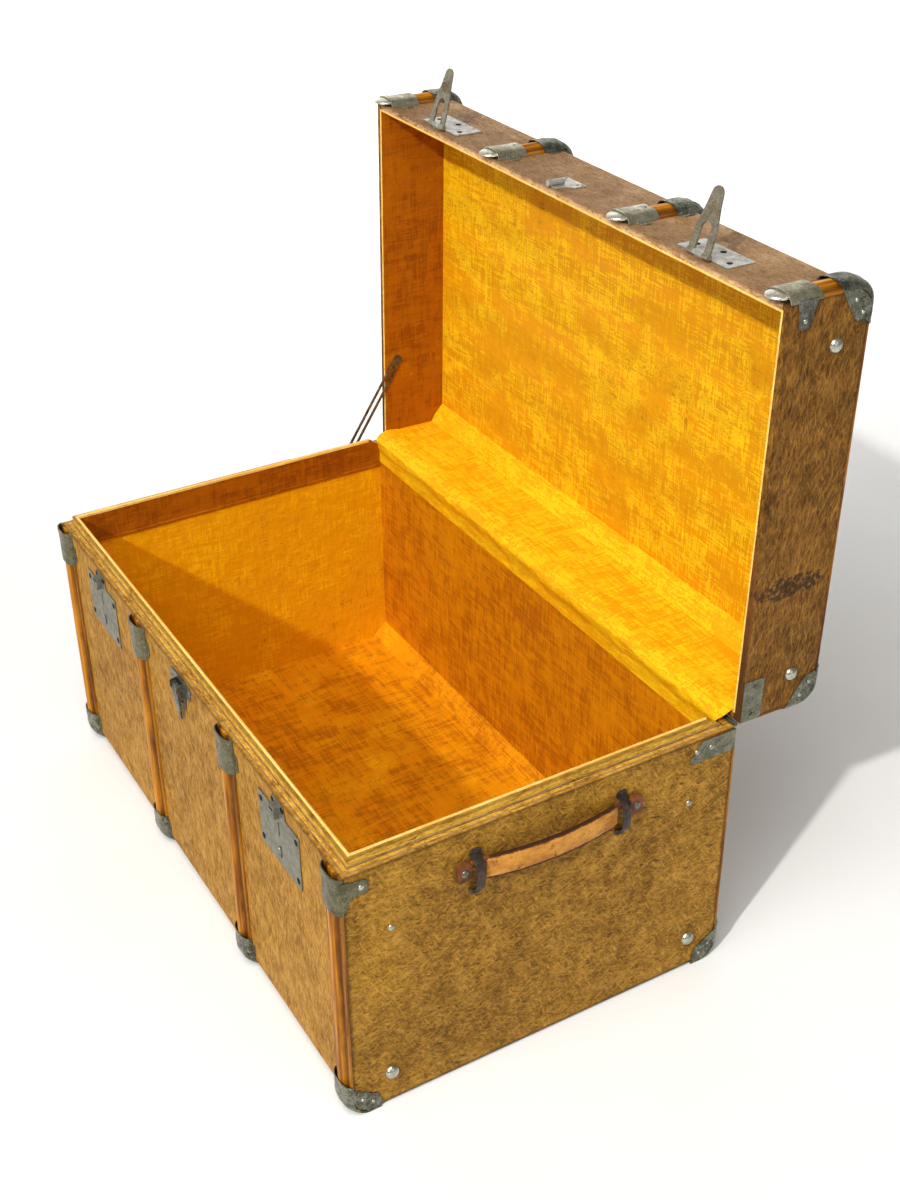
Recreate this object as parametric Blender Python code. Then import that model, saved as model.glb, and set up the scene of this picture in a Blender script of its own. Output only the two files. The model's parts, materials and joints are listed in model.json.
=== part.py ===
"""Steamer trunk with its lid open, modelled as separate pieces.

The body stands on the clamps at its lower corners, with the middle of its footprint at the origin.
X runs along the trunk, -Y is the front, +Z is up. The lid is built in its closed place and hangs on
an empty at the hinge axis, which turns it back to the open rest pose.
"""

import math

import bmesh
import bpy
from mathutils import Matrix, Vector

# Driving dimensions, in metres and degrees
LENGTH = 0.900
DEPTH = 0.530
BODY_HEIGHT = 0.370
LID_HEIGHT = 0.115
BOARD = 0.010
EDGE_RADIUS = 0.020
FOOT = 0.004
GAP = 0.0003
SHEET = 0.0010
OPEN_ANGLE = 91.0

# Heights and planes that follow from them
RIM = FOOT + BODY_HEIGHT
LID_RIM = RIM + 0.0005
LID_TOP = LID_RIM + LID_HEIGHT
END = LENGTH / 2
FACE = DEPTH / 2
INNER_END = END - BOARD
INNER_FACE = FACE - BOARD

# Hinge along the back rim
HINGE_Y = FACE + 0.0035
KNUCKLE_RADIUS = 0.0028
HINGE_PIN_RADIUS = 0.0012
LEAF_HEIGHT = 0.026
KNUCKLES = 9

# Raised lip inside the body's rim
LIP_RISE = 0.013
LIP_BAND = 0.036
LIP_INSET = 0.0125
LIP_THICK = 0.0065
LIP_SLOPE = 0.018

# Battens and the clamps on them
BATTEN_WIDTH = 0.040
BATTEN_STEPS = (-1, -1 / 3, 1 / 3, 1)
BATTEN_FLANGE = 0.0035
BATTEN_CROWN = 0.0095
BEAD_HALF = 0.009
SOCKET_LENGTH = 0.052
SOCKET_DEPTH = 0.020
TONGUE_REACH = 0.0135
KNEE_RISE = 0.028
KNEE_RUN = 0.015

# Locks, hasps and the centre catch
LOCK_X = 0.290
LOCK_SIZE = (0.108, 0.078)
LOCK_TOP = RIM - 0.022
LOCK_PLATE = 0.0015
HASP_LENGTH = 0.076
HASP_WIDTH = 0.038
HASP_TIP = 0.019
HASP_THICK = 0.0024
HASP_WINDOW = 0.0083
HASP_LEAN = 17.0
HASP_OUT = 0.0055
HASP_UP = 0.006
TOOTH_DEPTH = 0.0085
TOOTH_LENGTH = 0.016
TOOTH_CENTRE = 0.052
SLIT_HALF = 0.0016
SLIT_LOW = 0.0565
SLIT_HIGH = 0.0355
MORTISE = 0.008
BARREL_RADIUS = 0.0035
HASP_PIN_RADIUS = 0.0014
CATCH_PIVOT_DOWN = 0.017
CATCH_OUT = 0.0065
LEVER_LENGTH = 0.053

# Handles on the ends
HANDLE_AXIS_UP = 0.329
HANDLE_AXIS_OUT = 0.0062
LOOP_Y = 0.100
LOOP_WIDTH = 0.014
LOOP_LOW = 0.278
LOOP_HIGH = 0.346
LOOP_DEPTH = 0.0125
STRAP_THICK = 0.005
STRAP_BOW = 0.010
STRAP_DROP = 0.030
STRAP_RISE = 0.004

# Slotted lid stay at the left end: both pins are equally far from the hinge axis
LID_PIN_REACH = 0.136
LID_PIN_RISE = 0.0225
STAY_ANGLE = 33.5
STAY_X = -0.4376
STAY_WIDTH = 0.014
STAY_THICK = 0.002
STAY_SLOT = 0.0064
STAY_PIN_RADIUS = 0.0025
STAY_OVERRUN = 0.009
STAY_SLOT_START = 0.016
POCKET = 0.0055

MATERIALS = {}


def clear_scene():
    """Remove every object so that the model starts from an empty scene."""
    for obj in list(bpy.data.objects):
        bpy.data.objects.remove(obj, do_unlink=True)


def material(name, colour, roughness, metallic=0.0):
    """Return the named Principled material, made on first use."""
    if name not in MATERIALS:
        mat = bpy.data.materials.new(name)
        mat.use_nodes = True
        shader = mat.node_tree.nodes["Principled BSDF"]
        shader.inputs["Base Color"].default_value = (*colour, 1.0)
        shader.inputs["Roughness"].default_value = roughness
        shader.inputs["Metallic"].default_value = metallic
        MATERIALS[name] = mat
    return MATERIALS[name]


def fibre(name):
    return material(name, (0.42, 0.25, 0.09), 0.75)


def wood(name):
    return material(name, (0.45, 0.17, 0.03), 0.40)


def steel(name):
    return material(name, (0.30, 0.29, 0.24), 0.42, 0.85)


def cloth(name):
    return material(name, (0.78, 0.42, 0.02), 0.60)


def leather(name):
    return material(name, (0.45, 0.22, 0.06), 0.55)


def empty(name, location, parent=None, rotation_x=0.0):
    """An empty that carries moving pieces on its origin."""
    obj = bpy.data.objects.new(name, None)
    bpy.context.scene.collection.objects.link(obj)
    obj.parent = parent
    obj.location = location
    obj.rotation_euler = (rotation_x, 0.0, 0.0)
    return obj


def finish(name, bm, mat=None, parent=None, origin=(0.0, 0.0, 0.0), smooth=False):
    """Turn a bmesh in trunk coordinates into an object whose origin is given in the same coordinates."""
    bmesh.ops.recalc_face_normals(bm, faces=bm.faces)
    bmesh.ops.translate(bm, verts=bm.verts, vec=-Vector(origin))
    mesh = bpy.data.meshes.new(name)
    bm.to_mesh(mesh)
    bm.free()
    if smooth:
        mesh.shade_smooth()
        mesh.set_sharp_from_angle(angle=math.radians(35))
    obj = bpy.data.objects.new(name, mesh)
    bpy.context.scene.collection.objects.link(obj)
    if mat:
        obj.data.materials.append(mat)
    if parent:
        obj.parent = parent
        obj.location = Vector(origin) - Vector((0.0, HINGE_Y, RIM))
    else:
        obj.location = origin
    return obj


def combine(obj, tool, operation="DIFFERENCE"):
    """Cut a tool out of an object, or join it on, with an exact Boolean."""
    tool.hide_render = True
    tool.display_type = "WIRE"
    modifier = obj.modifiers.new(operation.lower(), "BOOLEAN")
    modifier.operation = operation
    modifier.solver = "EXACT"
    modifier.object = tool


def block(low, high):
    """A bmesh box between two corners."""
    bm = bmesh.new()
    add_block(bm, low, high)
    return bm


def add_block(bm, low, high):
    size = Vector(high) - Vector(low)
    place = Matrix.Translation((Vector(high) + Vector(low)) / 2)
    bmesh.ops.create_cube(bm, size=1.0, matrix=place @ Matrix.Diagonal((*size, 1.0)))


def prism(outline, axis, low, high):
    """Extrude an outline along an axis; the outline's pairs fill the two other axes in order."""
    bm = bmesh.new()

    def point(pair, along):
        values = list(pair)
        values.insert("XYZ".index(axis), along)
        return bm.verts.new(values)

    first = [point(pair, low) for pair in outline]
    last = [point(pair, high) for pair in outline]
    bm.faces.new(first)
    bm.faces.new(list(reversed(last)))
    for i in range(len(outline)):
        j = (i + 1) % len(outline)
        bm.faces.new((first[j], first[i], last[i], last[j]))
    return bm


def rod(centre, radius, low, high, sides=16, axis="X"):
    """A round bar along an axis, centred on a pair of the two other coordinates."""
    turns = [2 * math.pi * (i + 0.5) / sides for i in range(sides)]
    outline = [(centre[0] + radius * math.cos(t), centre[1] + radius * math.sin(t)) for t in turns]
    return prism(outline, axis, low, high)


def skin(outer, inner):
    """Closed bmesh between two grids of points with equal rows and columns."""
    bm = bmesh.new()
    rows = len(outer)
    columns = len(outer[0])
    top = [[bm.verts.new(p) for p in row] for row in outer]
    bottom = [[bm.verts.new(p) for p in row] for row in inner]
    for i in range(rows - 1):
        for j in range(columns - 1):
            bm.faces.new((top[i][j], top[i][j + 1], top[i + 1][j + 1], top[i + 1][j]))
            bm.faces.new((bottom[i][j], bottom[i + 1][j], bottom[i + 1][j + 1], bottom[i][j + 1]))
    border = [(0, j) for j in range(columns)]
    border += [(i, columns - 1) for i in range(1, rows)]
    border += [(rows - 1, j) for j in range(columns - 2, -1, -1)]
    border += [(i, 0) for i in range(rows - 2, 0, -1)]
    for (i, j), (k, m) in zip(border, border[1:] + border[:1]):
        bm.faces.new((top[k][m], top[i][j], bottom[i][j], bottom[k][m]))
    return bm


def arc(centre, radius_a, radius_b, start, stop, steps):
    """Points on an ellipse's arc, angles in degrees."""
    points = []
    for i in range(steps + 1):
        turn = math.radians(start + (stop - start) * i / steps)
        points.append((centre[0] + radius_a * math.cos(turn), centre[1] + radius_b * math.sin(turn)))
    return points


# ---------------------------------------------------------------- boards

def side_outline(low, high, rounded_low):
    """Outline of the trunk in the YZ plane, rounded at its lower or upper corners."""
    edge = FACE - EDGE_RADIUS
    if rounded_low:
        turn = low + EDGE_RADIUS
        return ([(-FACE, high)] + arc((-edge, turn), EDGE_RADIUS, EDGE_RADIUS, 180, 270, 6)
                + arc((edge, turn), EDGE_RADIUS, EDGE_RADIUS, 270, 360, 6) + [(FACE, high)])
    turn = high - EDGE_RADIUS
    return ([(FACE, low)] + arc((edge, turn), EDGE_RADIUS, EDGE_RADIUS, 0, 90, 6)
            + arc((-edge, turn), EDGE_RADIUS, EDGE_RADIUS, 90, 180, 6) + [(-FACE, low)])


def wall_outline(side, rim, outer, board_z):
    """Section of a front or back board whose far edge rounds over to the floor or top board."""
    up = 1 if outer > rim else -1
    centre = outer - up * EDGE_RADIUS
    reach = math.degrees(math.acos((INNER_FACE - FACE + EDGE_RADIUS) / EDGE_RADIUS))
    curve = arc((FACE - EDGE_RADIUS, centre), EDGE_RADIUS, up * EDGE_RADIUS, 0, reach, 4)
    points = [(FACE, rim)] + curve + [(INNER_FACE, board_z), (INNER_FACE, rim)]
    return [(side * y, z) for y, z in points]


def flat_outline(outer, inner):
    """Section of the floor or top board between the front and back boards."""
    up = 1 if outer > inner else -1
    centre = outer - up * EDGE_RADIUS
    edge = INNER_FACE - GAP
    start = math.degrees(math.acos((edge - FACE + EDGE_RADIUS) / EDGE_RADIUS))
    curve = arc((FACE - EDGE_RADIUS, centre), EDGE_RADIUS, up * EDGE_RADIUS, start, 90, 4)
    mirrored = [(-y, z) for y, z in reversed(curve)]
    return [(edge, inner)] + curve + mirrored + [(-edge, inner)]


def make_boards(prefix, names, rim, outer, parent=None):
    """The five boards of the body or the lid, butted inside the two end boards."""
    origin = (0.0, HINGE_Y, RIM) if parent else (0.0, 0.0, 0.0)
    up = 1 if outer > rim else -1
    inner = outer - up * BOARD
    outline = side_outline(min(rim, outer), max(rim, outer), up < 0)
    for side, word in ((-1, "left"), (1, "right")):
        low, high = sorted((side * INNER_END, side * END))
        finish(prefix + word + "_board", prism(outline, "X", low, high), fibre("end fibre"), parent, origin)
    between = INNER_END - GAP
    for side, word in ((-1, "front"), (1, "back")):
        section = wall_outline(side, rim, outer, inner)
        finish(prefix + word + "_board", prism(section, "X", -between, between),
               fibre("face fibre"), parent, origin)
    section = flat_outline(outer, inner)
    finish(prefix + names, prism(section, "X", -between, between), fibre("face fibre"), parent, origin)


# ---------------------------------------------------------------- inside

def make_lip():
    """U-shaped lip around the front and ends, rebated where the lid closes over it."""
    low = RIM - LIP_BAND
    high = RIM + LIP_RISE
    back = INNER_FACE - 0.0017
    edge = INNER_END - GAP
    front = INNER_FACE - GAP
    inset = LIP_INSET + LIP_THICK
    lip = finish("rim_lip", block((-edge, -front, low), (edge, back, high)), fibre("lip fibre"))
    combine(lip, finish("lip_hollow", block((inset - END, inset - FACE, low - BOARD),
                                            (END - inset, FACE, high + BOARD))))
    rebate = LIP_INSET - BOARD
    step = RIM - 0.0004
    for side, word in ((-1, "left"), (1, "right")):
        a, b = sorted((side * (INNER_END - rebate), side * END))
        cut = block((a, -FACE, step), (b, FACE, high + BOARD))
        combine(lip, finish("lip_rebate_" + word, cut))
    combine(lip, finish("lip_rebate_front", block((-END, -FACE, step),
                                                  (END, rebate - INNER_FACE, high + BOARD))))
    wedge = [(back - LIP_SLOPE, high + GAP), (back + GAP, RIM - GAP), (back + BOARD, high + GAP)]
    combine(lip, finish("lip_slope", prism(wedge, "X", -END, END)))
    pocket = block((-END, 0.100, low - BOARD), (POCKET - INNER_END, 0.240, high + BOARD))
    combine(lip, finish("lip_pocket", pocket))


def make_body_lining():
    """Cloth-covered lining: floor, four walls and the padded corner strip along the back."""
    strip = 0.022
    low = FOOT + BOARD + GAP
    top = RIM - 0.001
    front = INNER_FACE - GAP
    side = INNER_END - POCKET

    def section(inset, high):
        return [(inset - front, high), (inset - front, low + inset),
                (front - strip - inset * 0.4, low + inset), (front - inset, low + strip + inset * 0.4),
                (front - inset, high)]

    lining = finish("body_lining", prism(section(0.0, top), "X", -side, side), cloth("body lining cloth"))
    hollow = prism(section(SHEET, top + BOARD), "X", SHEET - side, side - SHEET)
    combine(lining, finish("lining_hollow", hollow))
    trim = block((-END, -FACE, RIM - LIP_BAND - GAP), (END, front - SHEET * 1.2, RIM + BOARD))
    combine(lining, finish("lining_trim", trim))


def make_lid_lining(parent):
    """Lining of the lid, with the padded strip in the corner of its top and back."""
    thick = 0.0007
    deep = 0.026
    high = 0.019
    low = LID_RIM + 0.0003
    top = LID_TOP - BOARD - GAP
    front = INNER_FACE - GAP
    side = INNER_END - GAP
    origin = (0.0, HINGE_Y, RIM)

    def section(inset, bottom):
        return [(inset - front, bottom), (front - inset, bottom), (front - inset, top - high - inset * 0.4),
                (front - deep - inset * 0.4, top - inset), (inset - front, top - inset)]

    lining = finish("lid_lining", prism(section(0.0, low), "X", -side, side),
                    cloth("lid lining cloth"), parent, origin)
    hollow = prism(section(thick, low - BOARD), "X", thick - side, side - thick)
    combine(lining, finish("lid_lining_hollow", hollow, None, parent, origin))


# ---------------------------------------------------------------- battens and clamps

def rib_columns(half_width, bead, steps=6):
    """Distances across a batten: its two edges and points around its bead."""
    bead_columns = [-bead * math.cos(math.pi * i / steps) for i in range(steps + 1)]
    return [-half_width] + bead_columns + [half_width]


def rib_height(across, flange, crown, bead):
    """Height of the section above the board at a distance across the batten."""
    if abs(across) >= bead - 1e-9:
        return flange
    return flange + (crown - flange) * math.sqrt(1.0 - (across / bead) ** 2)


def rib_row(centre_x, columns, heights, base, normal):
    """One row of points: across the batten along X, raised along the board's normal."""
    return [Vector((centre_x + s, base[0] + normal[0] * h, base[1] + normal[1] * h))
            for s, h in zip(columns, heights)]


def batten_heights(columns, crown):
    return [rib_height(s, BATTEN_FLANGE, crown, BEAD_HALF) for s in columns]


def batten(name, centre_x, stations, parent=None, origin=(0.0, 0.0, 0.0)):
    """A batten along stations of (base point, normal, crown height)."""
    columns = rib_columns(BATTEN_WIDTH / 2, BEAD_HALF)
    outer = []
    inner = []
    for base, normal, crown in stations:
        outer.append(rib_row(centre_x, columns, batten_heights(columns, crown), base, normal))
        inner.append(rib_row(centre_x, columns, [GAP] * len(columns), base, normal))
    finish(name, skin(outer, inner), wood("batten wood"), parent, origin, smooth=True)


def clamp_profile(edge):
    """Columns, outer heights and inner heights of sheet steel pressed over a batten."""
    half = BATTEN_WIDTH / 2 + GAP
    bead = BEAD_HALF + GAP
    columns = rib_columns(half, bead)
    inner_columns = [columns[0]] + columns + [columns[-1]]
    inner = [rib_height(s, BATTEN_FLANGE + GAP, BATTEN_CROWN + GAP, bead) for s in columns]
    inner = [edge] + inner + [edge]
    outer_bead = bead + SHEET
    columns = rib_columns(half + SHEET, outer_bead)
    outer_columns = [columns[0]] + columns + [columns[-1]]
    flange = BATTEN_FLANGE + GAP + SHEET
    outer = [rib_height(s, flange, BATTEN_CROWN + GAP + SHEET, outer_bead) for s in columns]
    outer = [edge] + outer + [edge]
    return outer_columns, outer, inner_columns, inner


def body_battens():
    """Front and back battens, with the front ones cut down at the top to clear the tongues."""
    foot_top = FOOT + EDGE_RADIUS + 0.0005
    back_top = RIM - LEAF_HEIGHT - 0.003
    for number, step in enumerate(BATTEN_STEPS, 1):
        x = step * (END - BATTEN_WIDTH / 2)
        low_crown = BATTEN_FLANGE + 0.0001
        levels = [(RIM - GAP, low_crown), (RIM - SOCKET_DEPTH, low_crown),
                  (RIM - SOCKET_DEPTH - 0.0005, BATTEN_CROWN), (foot_top, BATTEN_CROWN)]
        stations = [((-FACE, z), (-1.0, 0.0), crown) for z, crown in levels]
        batten("front_batten_%d" % number, x, stations)
        stations = [((FACE, z), (1.0, 0.0), BATTEN_CROWN) for z in (back_top, foot_top)]
        batten("back_batten_%d" % number, x, stations)


def lid_battens(parent):
    """One bent batten over the lid for each body batten, from the front rim to the back leaf."""
    origin = (0.0, HINGE_Y, RIM)
    edge = FACE - EDGE_RADIUS
    turn = LID_TOP - EDGE_RADIUS
    front_low = LID_RIM + 0.0150
    back_low = LID_RIM + LEAF_HEIGHT + 0.003
    path = [((-FACE, front_low), (-1.0, 0.0))]
    for angle in range(180, 89, -18):
        normal = (math.cos(math.radians(angle)), math.sin(math.radians(angle)))
        path.append(((-edge + EDGE_RADIUS * normal[0], turn + EDGE_RADIUS * normal[1]), normal))
    for angle in range(90, -1, -18):
        normal = (math.cos(math.radians(angle)), math.sin(math.radians(angle)))
        path.append(((edge + EDGE_RADIUS * normal[0], turn + EDGE_RADIUS * normal[1]), normal))
    path.append(((FACE, back_low), (1.0, 0.0)))
    for number, step in enumerate(BATTEN_STEPS, 1):
        x = step * (END - BATTEN_WIDTH / 2)
        stations = [(base, normal, BATTEN_CROWN) for base, normal in path]
        batten("lid_batten_%d" % number, x, stations, parent, origin)


def socket_clamps():
    """Open cups over the tops of the front battens, which take the lid's tongues."""
    outer_columns, outer_heights, inner_columns, inner_heights = clamp_profile(GAP)
    for number, step in enumerate(BATTEN_STEPS, 1):
        x = step * (END - BATTEN_WIDTH / 2)
        outer = []
        inner = []
        for z in (RIM - GAP, RIM - SOCKET_LENGTH):
            outer.append(rib_row(x, outer_columns, outer_heights, (-FACE, z), (-1.0, 0.0)))
            inner.append(rib_row(x, inner_columns, inner_heights, (-FACE, z), (-1.0, 0.0)))
        finish("socket_clamp_%d" % number, skin(outer, inner), steel("clamp steel"), smooth=True)


def knee_rows(centre_x, side):
    """Rows of a foot clamp: down the batten, round the lower edge and under the floor."""
    outer_columns, outer_heights, inner_columns, inner_heights = clamp_profile(GAP)
    outer = []
    inner = []

    def add(columns, heights, rows, place):
        rows.append([Vector((centre_x + s, *place(h))) for s, h in zip(columns, heights)])

    turn_y = FACE - EDGE_RADIUS
    turn_z = FOOT + EDGE_RADIUS
    for z in (turn_z + KNEE_RISE, turn_z):
        add(outer_columns, outer_heights, outer, lambda h: (side * (FACE + h), z))
        add(inner_columns, inner_heights, inner, lambda h: (side * (FACE + h), z))
    steps = 6
    for i in range(1, steps + 1):
        turn = math.pi / 2 * i / steps
        along = math.cos(turn)
        down = math.sin(turn)
        add(outer_columns, outer_heights, outer,
            lambda h: (side * (turn_y + (EDGE_RADIUS + h) * along), turn_z - turn_z * down))
        add(inner_columns, inner_heights, inner,
            lambda h: (side * (turn_y + (EDGE_RADIUS + h) * along),
                       turn_z - (EDGE_RADIUS + GAP) * down))
    add(outer_columns, outer_heights, outer, lambda h: (side * (turn_y - KNEE_RUN), 0.0))
    add(inner_columns, inner_heights, inner, lambda h: (side * (turn_y - KNEE_RUN), FOOT - GAP))
    return outer, inner


def foot_clamps():
    """Rounded steel knees on the battens' lower ends; the trunk stands on them."""
    for side, word in ((-1, "front"), (1, "back")):
        for number, step in enumerate(BATTEN_STEPS, 1):
            x = step * (END - BATTEN_WIDTH / 2)
            outer, inner = knee_rows(x, side)
            finish("%s_foot_clamp_%d" % (word, number), skin(outer, inner), steel("clamp steel"),
                   smooth=True)


def tongue_clamps(parent):
    """Clamps on the lid's front battens with a nose that enters the socket below."""
    origin = (0.0, HINGE_Y, RIM)
    outer_columns, outer_heights, inner_columns, inner_heights = clamp_profile(GAP)
    nose_low = BATTEN_FLANGE + 0.0008
    # height above the rim, half width, underside and crown of the tongue
    root = (0.0098, GAP + 0.0005, BATTEN_CROWN + 0.0008)
    nose = (0.0068, nose_low, BATTEN_CROWN - 0.0002)
    sections = [(0.0140, *root), (0.0025, *root), (0.0022, *nose), (-0.0050, *nose),
                (-0.0100, 0.0046, nose_low + 0.0003, BATTEN_CROWN - 0.0015),
                (-TONGUE_REACH, 0.0012, nose_low + 0.0012, BATTEN_CROWN - 0.0034)]
    for number, step in enumerate(BATTEN_STEPS, 1):
        x = step * (END - BATTEN_WIDTH / 2)
        outer = []
        inner = []
        for z in (LID_RIM + 0.0020, LID_RIM + SOCKET_LENGTH):
            outer.append(rib_row(x, outer_columns, outer_heights, (-FACE, z), (-1.0, 0.0)))
            inner.append(rib_row(x, inner_columns, inner_heights, (-FACE, z), (-1.0, 0.0)))
        clamp = finish("tongue_clamp_%d" % number, skin(outer, inner), steel("clamp steel"),
                       parent, origin, smooth=True)
        outer = []
        inner = []
        for rise, half, low, high in sections:
            turns = [math.pi * i / 8 for i in range(9)]
            outer.append([Vector((x - half * math.cos(t), -FACE - low - (high - low) * math.sin(t),
                                  LID_RIM + rise)) for t in turns])
            inner.append([Vector((x - half * math.cos(t) * 0.98, -FACE - low, LID_RIM + rise))
                          for t in turns])
        combine(clamp, finish("tongue_core_%d" % number, skin(outer, inner), None, parent, origin), "UNION")


# ---------------------------------------------------------------- hinge

def make_leaf(name, upward, first, parent=None):
    """Hinge leaf on the back: strip, its knuckles and a plate wrapped on to each end board."""
    origin = (0.0, HINGE_Y, RIM) if parent else (0.0, 0.0, 0.0)
    sign = 1 if upward else -1
    near = RIM + sign * 0.0030
    far = RIM + sign * LEAF_HEIGHT
    low, high = sorted((near, far))
    end_face = END + GAP
    strip = block((-end_face - SHEET, FACE + GAP, low), (end_face + SHEET, FACE + GAP + SHEET, high))
    leaf = finish(name, strip, steel("hinge steel"), parent, origin)
    plate_far = RIM + sign * 0.033
    if upward:
        outline = [(HINGE_Y - 0.060, near), (FACE + GAP + SHEET, near), (FACE + GAP + SHEET, far),
                   (FACE - 0.001, plate_far), (HINGE_Y - 0.060, plate_far)]
    else:
        outline = [(FACE - 0.048, near), (FACE + GAP + SHEET, near), (FACE + GAP + SHEET, far),
                   (FACE - 0.001, plate_far), (FACE - 0.065, plate_far), (FACE - 0.065, plate_far + 0.008)]
    for side, word in ((-1, "left"), (1, "right")):
        a, b = sorted((side * end_face, side * (end_face + SHEET)))
        plate = finish("%s_%s_plate" % (name, word), prism(outline, "X", a, b), None, parent, origin)
        combine(leaf, plate, "UNION")
    pitch = 2 * (END - 0.002) / KNUCKLES
    for i in range(first, KNUCKLES, 2):
        start = 0.002 - END + i * pitch + GAP
        stop = start + pitch - 2 * GAP
        shank_z = sorted((RIM + sign * 0.0006, near + sign * 0.001))
        shank = block((start, FACE + GAP, shank_z[0]), (stop, FACE + GAP + SHEET, shank_z[1]))
        combine(leaf, finish("%s_shank_%d" % (name, i), shank, None, parent, origin), "UNION")
        barrel = rod((HINGE_Y, RIM), KNUCKLE_RADIUS, start, stop, 12)
        combine(leaf, finish("%s_barrel_%d" % (name, i), barrel, None, parent, origin), "UNION")
    bore = rod((HINGE_Y, RIM), HINGE_PIN_RADIUS + GAP, -END - BOARD, END + BOARD, 12)
    combine(leaf, finish(name + "_bore", bore, None, parent, origin))


# ---------------------------------------------------------------- locks and catch

def lock_plates():
    """Lock plates on the front: a flat plate, a tab up to the rim and the staple box on it."""
    width, height = LOCK_SIZE
    for side, word in ((-1, "left"), (1, "right")):
        x = side * LOCK_X
        half = width / 2
        tab = 0.019
        outline = [(x - half, LOCK_TOP), (x - tab, LOCK_TOP), (x - tab + 0.004, RIM - 0.004),
                   (x + tab - 0.004, RIM - 0.004), (x + tab, LOCK_TOP), (x + half, LOCK_TOP),
                   (x + half, LOCK_TOP - height), (x - half, LOCK_TOP - height)]
        plate = finish("lock_plate_" + word, prism(outline, "Y", -FACE - GAP - LOCK_PLATE, -FACE - GAP),
                       steel("plate steel"))
        box = block((x - 0.0065, -FACE - 0.0098, RIM - 0.025), (x + 0.0065, -FACE - 0.001, RIM - 0.008))
        combine(plate, finish("staple_box_" + word, box), "UNION")
        front = bpy.data.objects["front_board"]
        for target, deep in ((plate, FACE - BOARD), (front, FACE - MORTISE)):
            slit = block((x - SLIT_HALF, -FACE - BOARD, RIM - SLIT_LOW), (x + SLIT_HALF, -deep, RIM - SLIT_HIGH))
            combine(target, finish("slit_%s_%s" % (word, target.name), slit))


def hasp_plates(parent):
    """Plates on the lid's front, each with a fixed middle knuckle and its pin."""
    origin = (0.0, HINGE_Y, RIM)
    axis_y = -FACE - HASP_OUT
    axis_z = LID_RIM + HASP_UP
    for side, word in ((-1, "left"), (1, "right")):
        x = side * LOCK_X
        plate = block((x - 0.045, -FACE - GAP - LOCK_PLATE, axis_z + 0.0045),
                      (x + 0.045, -FACE - GAP, axis_z + 0.0445))
        plate = finish("hasp_plate_" + word, plate, steel("plate steel"), parent, origin)
        neck = block((x - 0.0078, axis_y - 0.001, axis_z - 0.001),
                     (x + 0.0078, -FACE - GAP - 0.0003, axis_z + 0.0080))
        combine(plate, finish("hasp_neck_" + word, neck, None, parent, origin), "UNION")
        barrel = rod((axis_y, axis_z), BARREL_RADIUS, x - 0.0080, x + 0.0080)
        combine(plate, finish("hasp_barrel_" + word, barrel, None, parent, origin), "UNION")
        pin = rod((axis_y, axis_z), HASP_PIN_RADIUS, x - 0.0185, x + 0.0185, 12)
        combine(plate, finish("hasp_pin_" + word, pin, None, parent, origin), "UNION")


def make_hasps(parent):
    """Tapered hasps with a round-topped window, leaning back from square to the lid's front."""
    for side, word in ((-1, "left"), (1, "right")):
        x = side * LOCK_X
        pivot = Vector((x, -FACE - HASP_OUT, LID_RIM + HASP_UP))
        half = HASP_WIDTH / 2
        tip = HASP_TIP / 2
        shoulder = HASP_LENGTH - tip
        right = [(half, 0.0), (half - 0.001, 0.028), (tip + 0.002, shoulder - 0.012)]
        cap = arc((0.0, shoulder), tip, tip, 0, 180, 8)
        outline = right + cap + [(-a, b) for a, b in reversed(right)]
        outline = [(a, -b) for a, b in outline]
        bm = prism(outline, "Z", -HASP_THICK / 2, HASP_THICK / 2)
        hasp = finish("hasp_" + word, bm, steel("hasp steel"), smooth=True)
        tools = [(rod((0.0, 0.0), BARREL_RADIUS, -half, half), "UNION")]
        window = arc((0.0, 0.028), HASP_WINDOW, HASP_WINDOW, 0, 180, 8)
        window = [(HASP_WINDOW, -0.008)] + window + [(-HASP_WINDOW, -0.008)]
        window = [(a, -b) for a, b in window]
        tools.append((prism(window, "Z", -0.008, 0.008), "DIFFERENCE"))
        tools.append((rod((0.0, 0.0), HASP_PIN_RADIUS + GAP, -half - 0.005, half + 0.005, 12), "DIFFERENCE"))
        tooth = arc((-TOOTH_CENTRE, 0.0), TOOTH_LENGTH / 2, TOOTH_DEPTH, 180, 360, 8)
        tools.append((prism(tooth, "X", -0.0010, 0.0010), "UNION"))
        for i, (tool_bm, operation) in enumerate(tools):
            tool = finish("hasp_tool_%s_%d" % (word, i), tool_bm)
            tool.parent = hasp
            combine(hasp, tool, operation)
        hasp.parent = parent
        hasp.location = pivot - Vector((0.0, HINGE_Y, RIM))
        hasp.rotation_euler = (-math.radians(HASP_LEAN), 0.0, 0.0)


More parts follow.
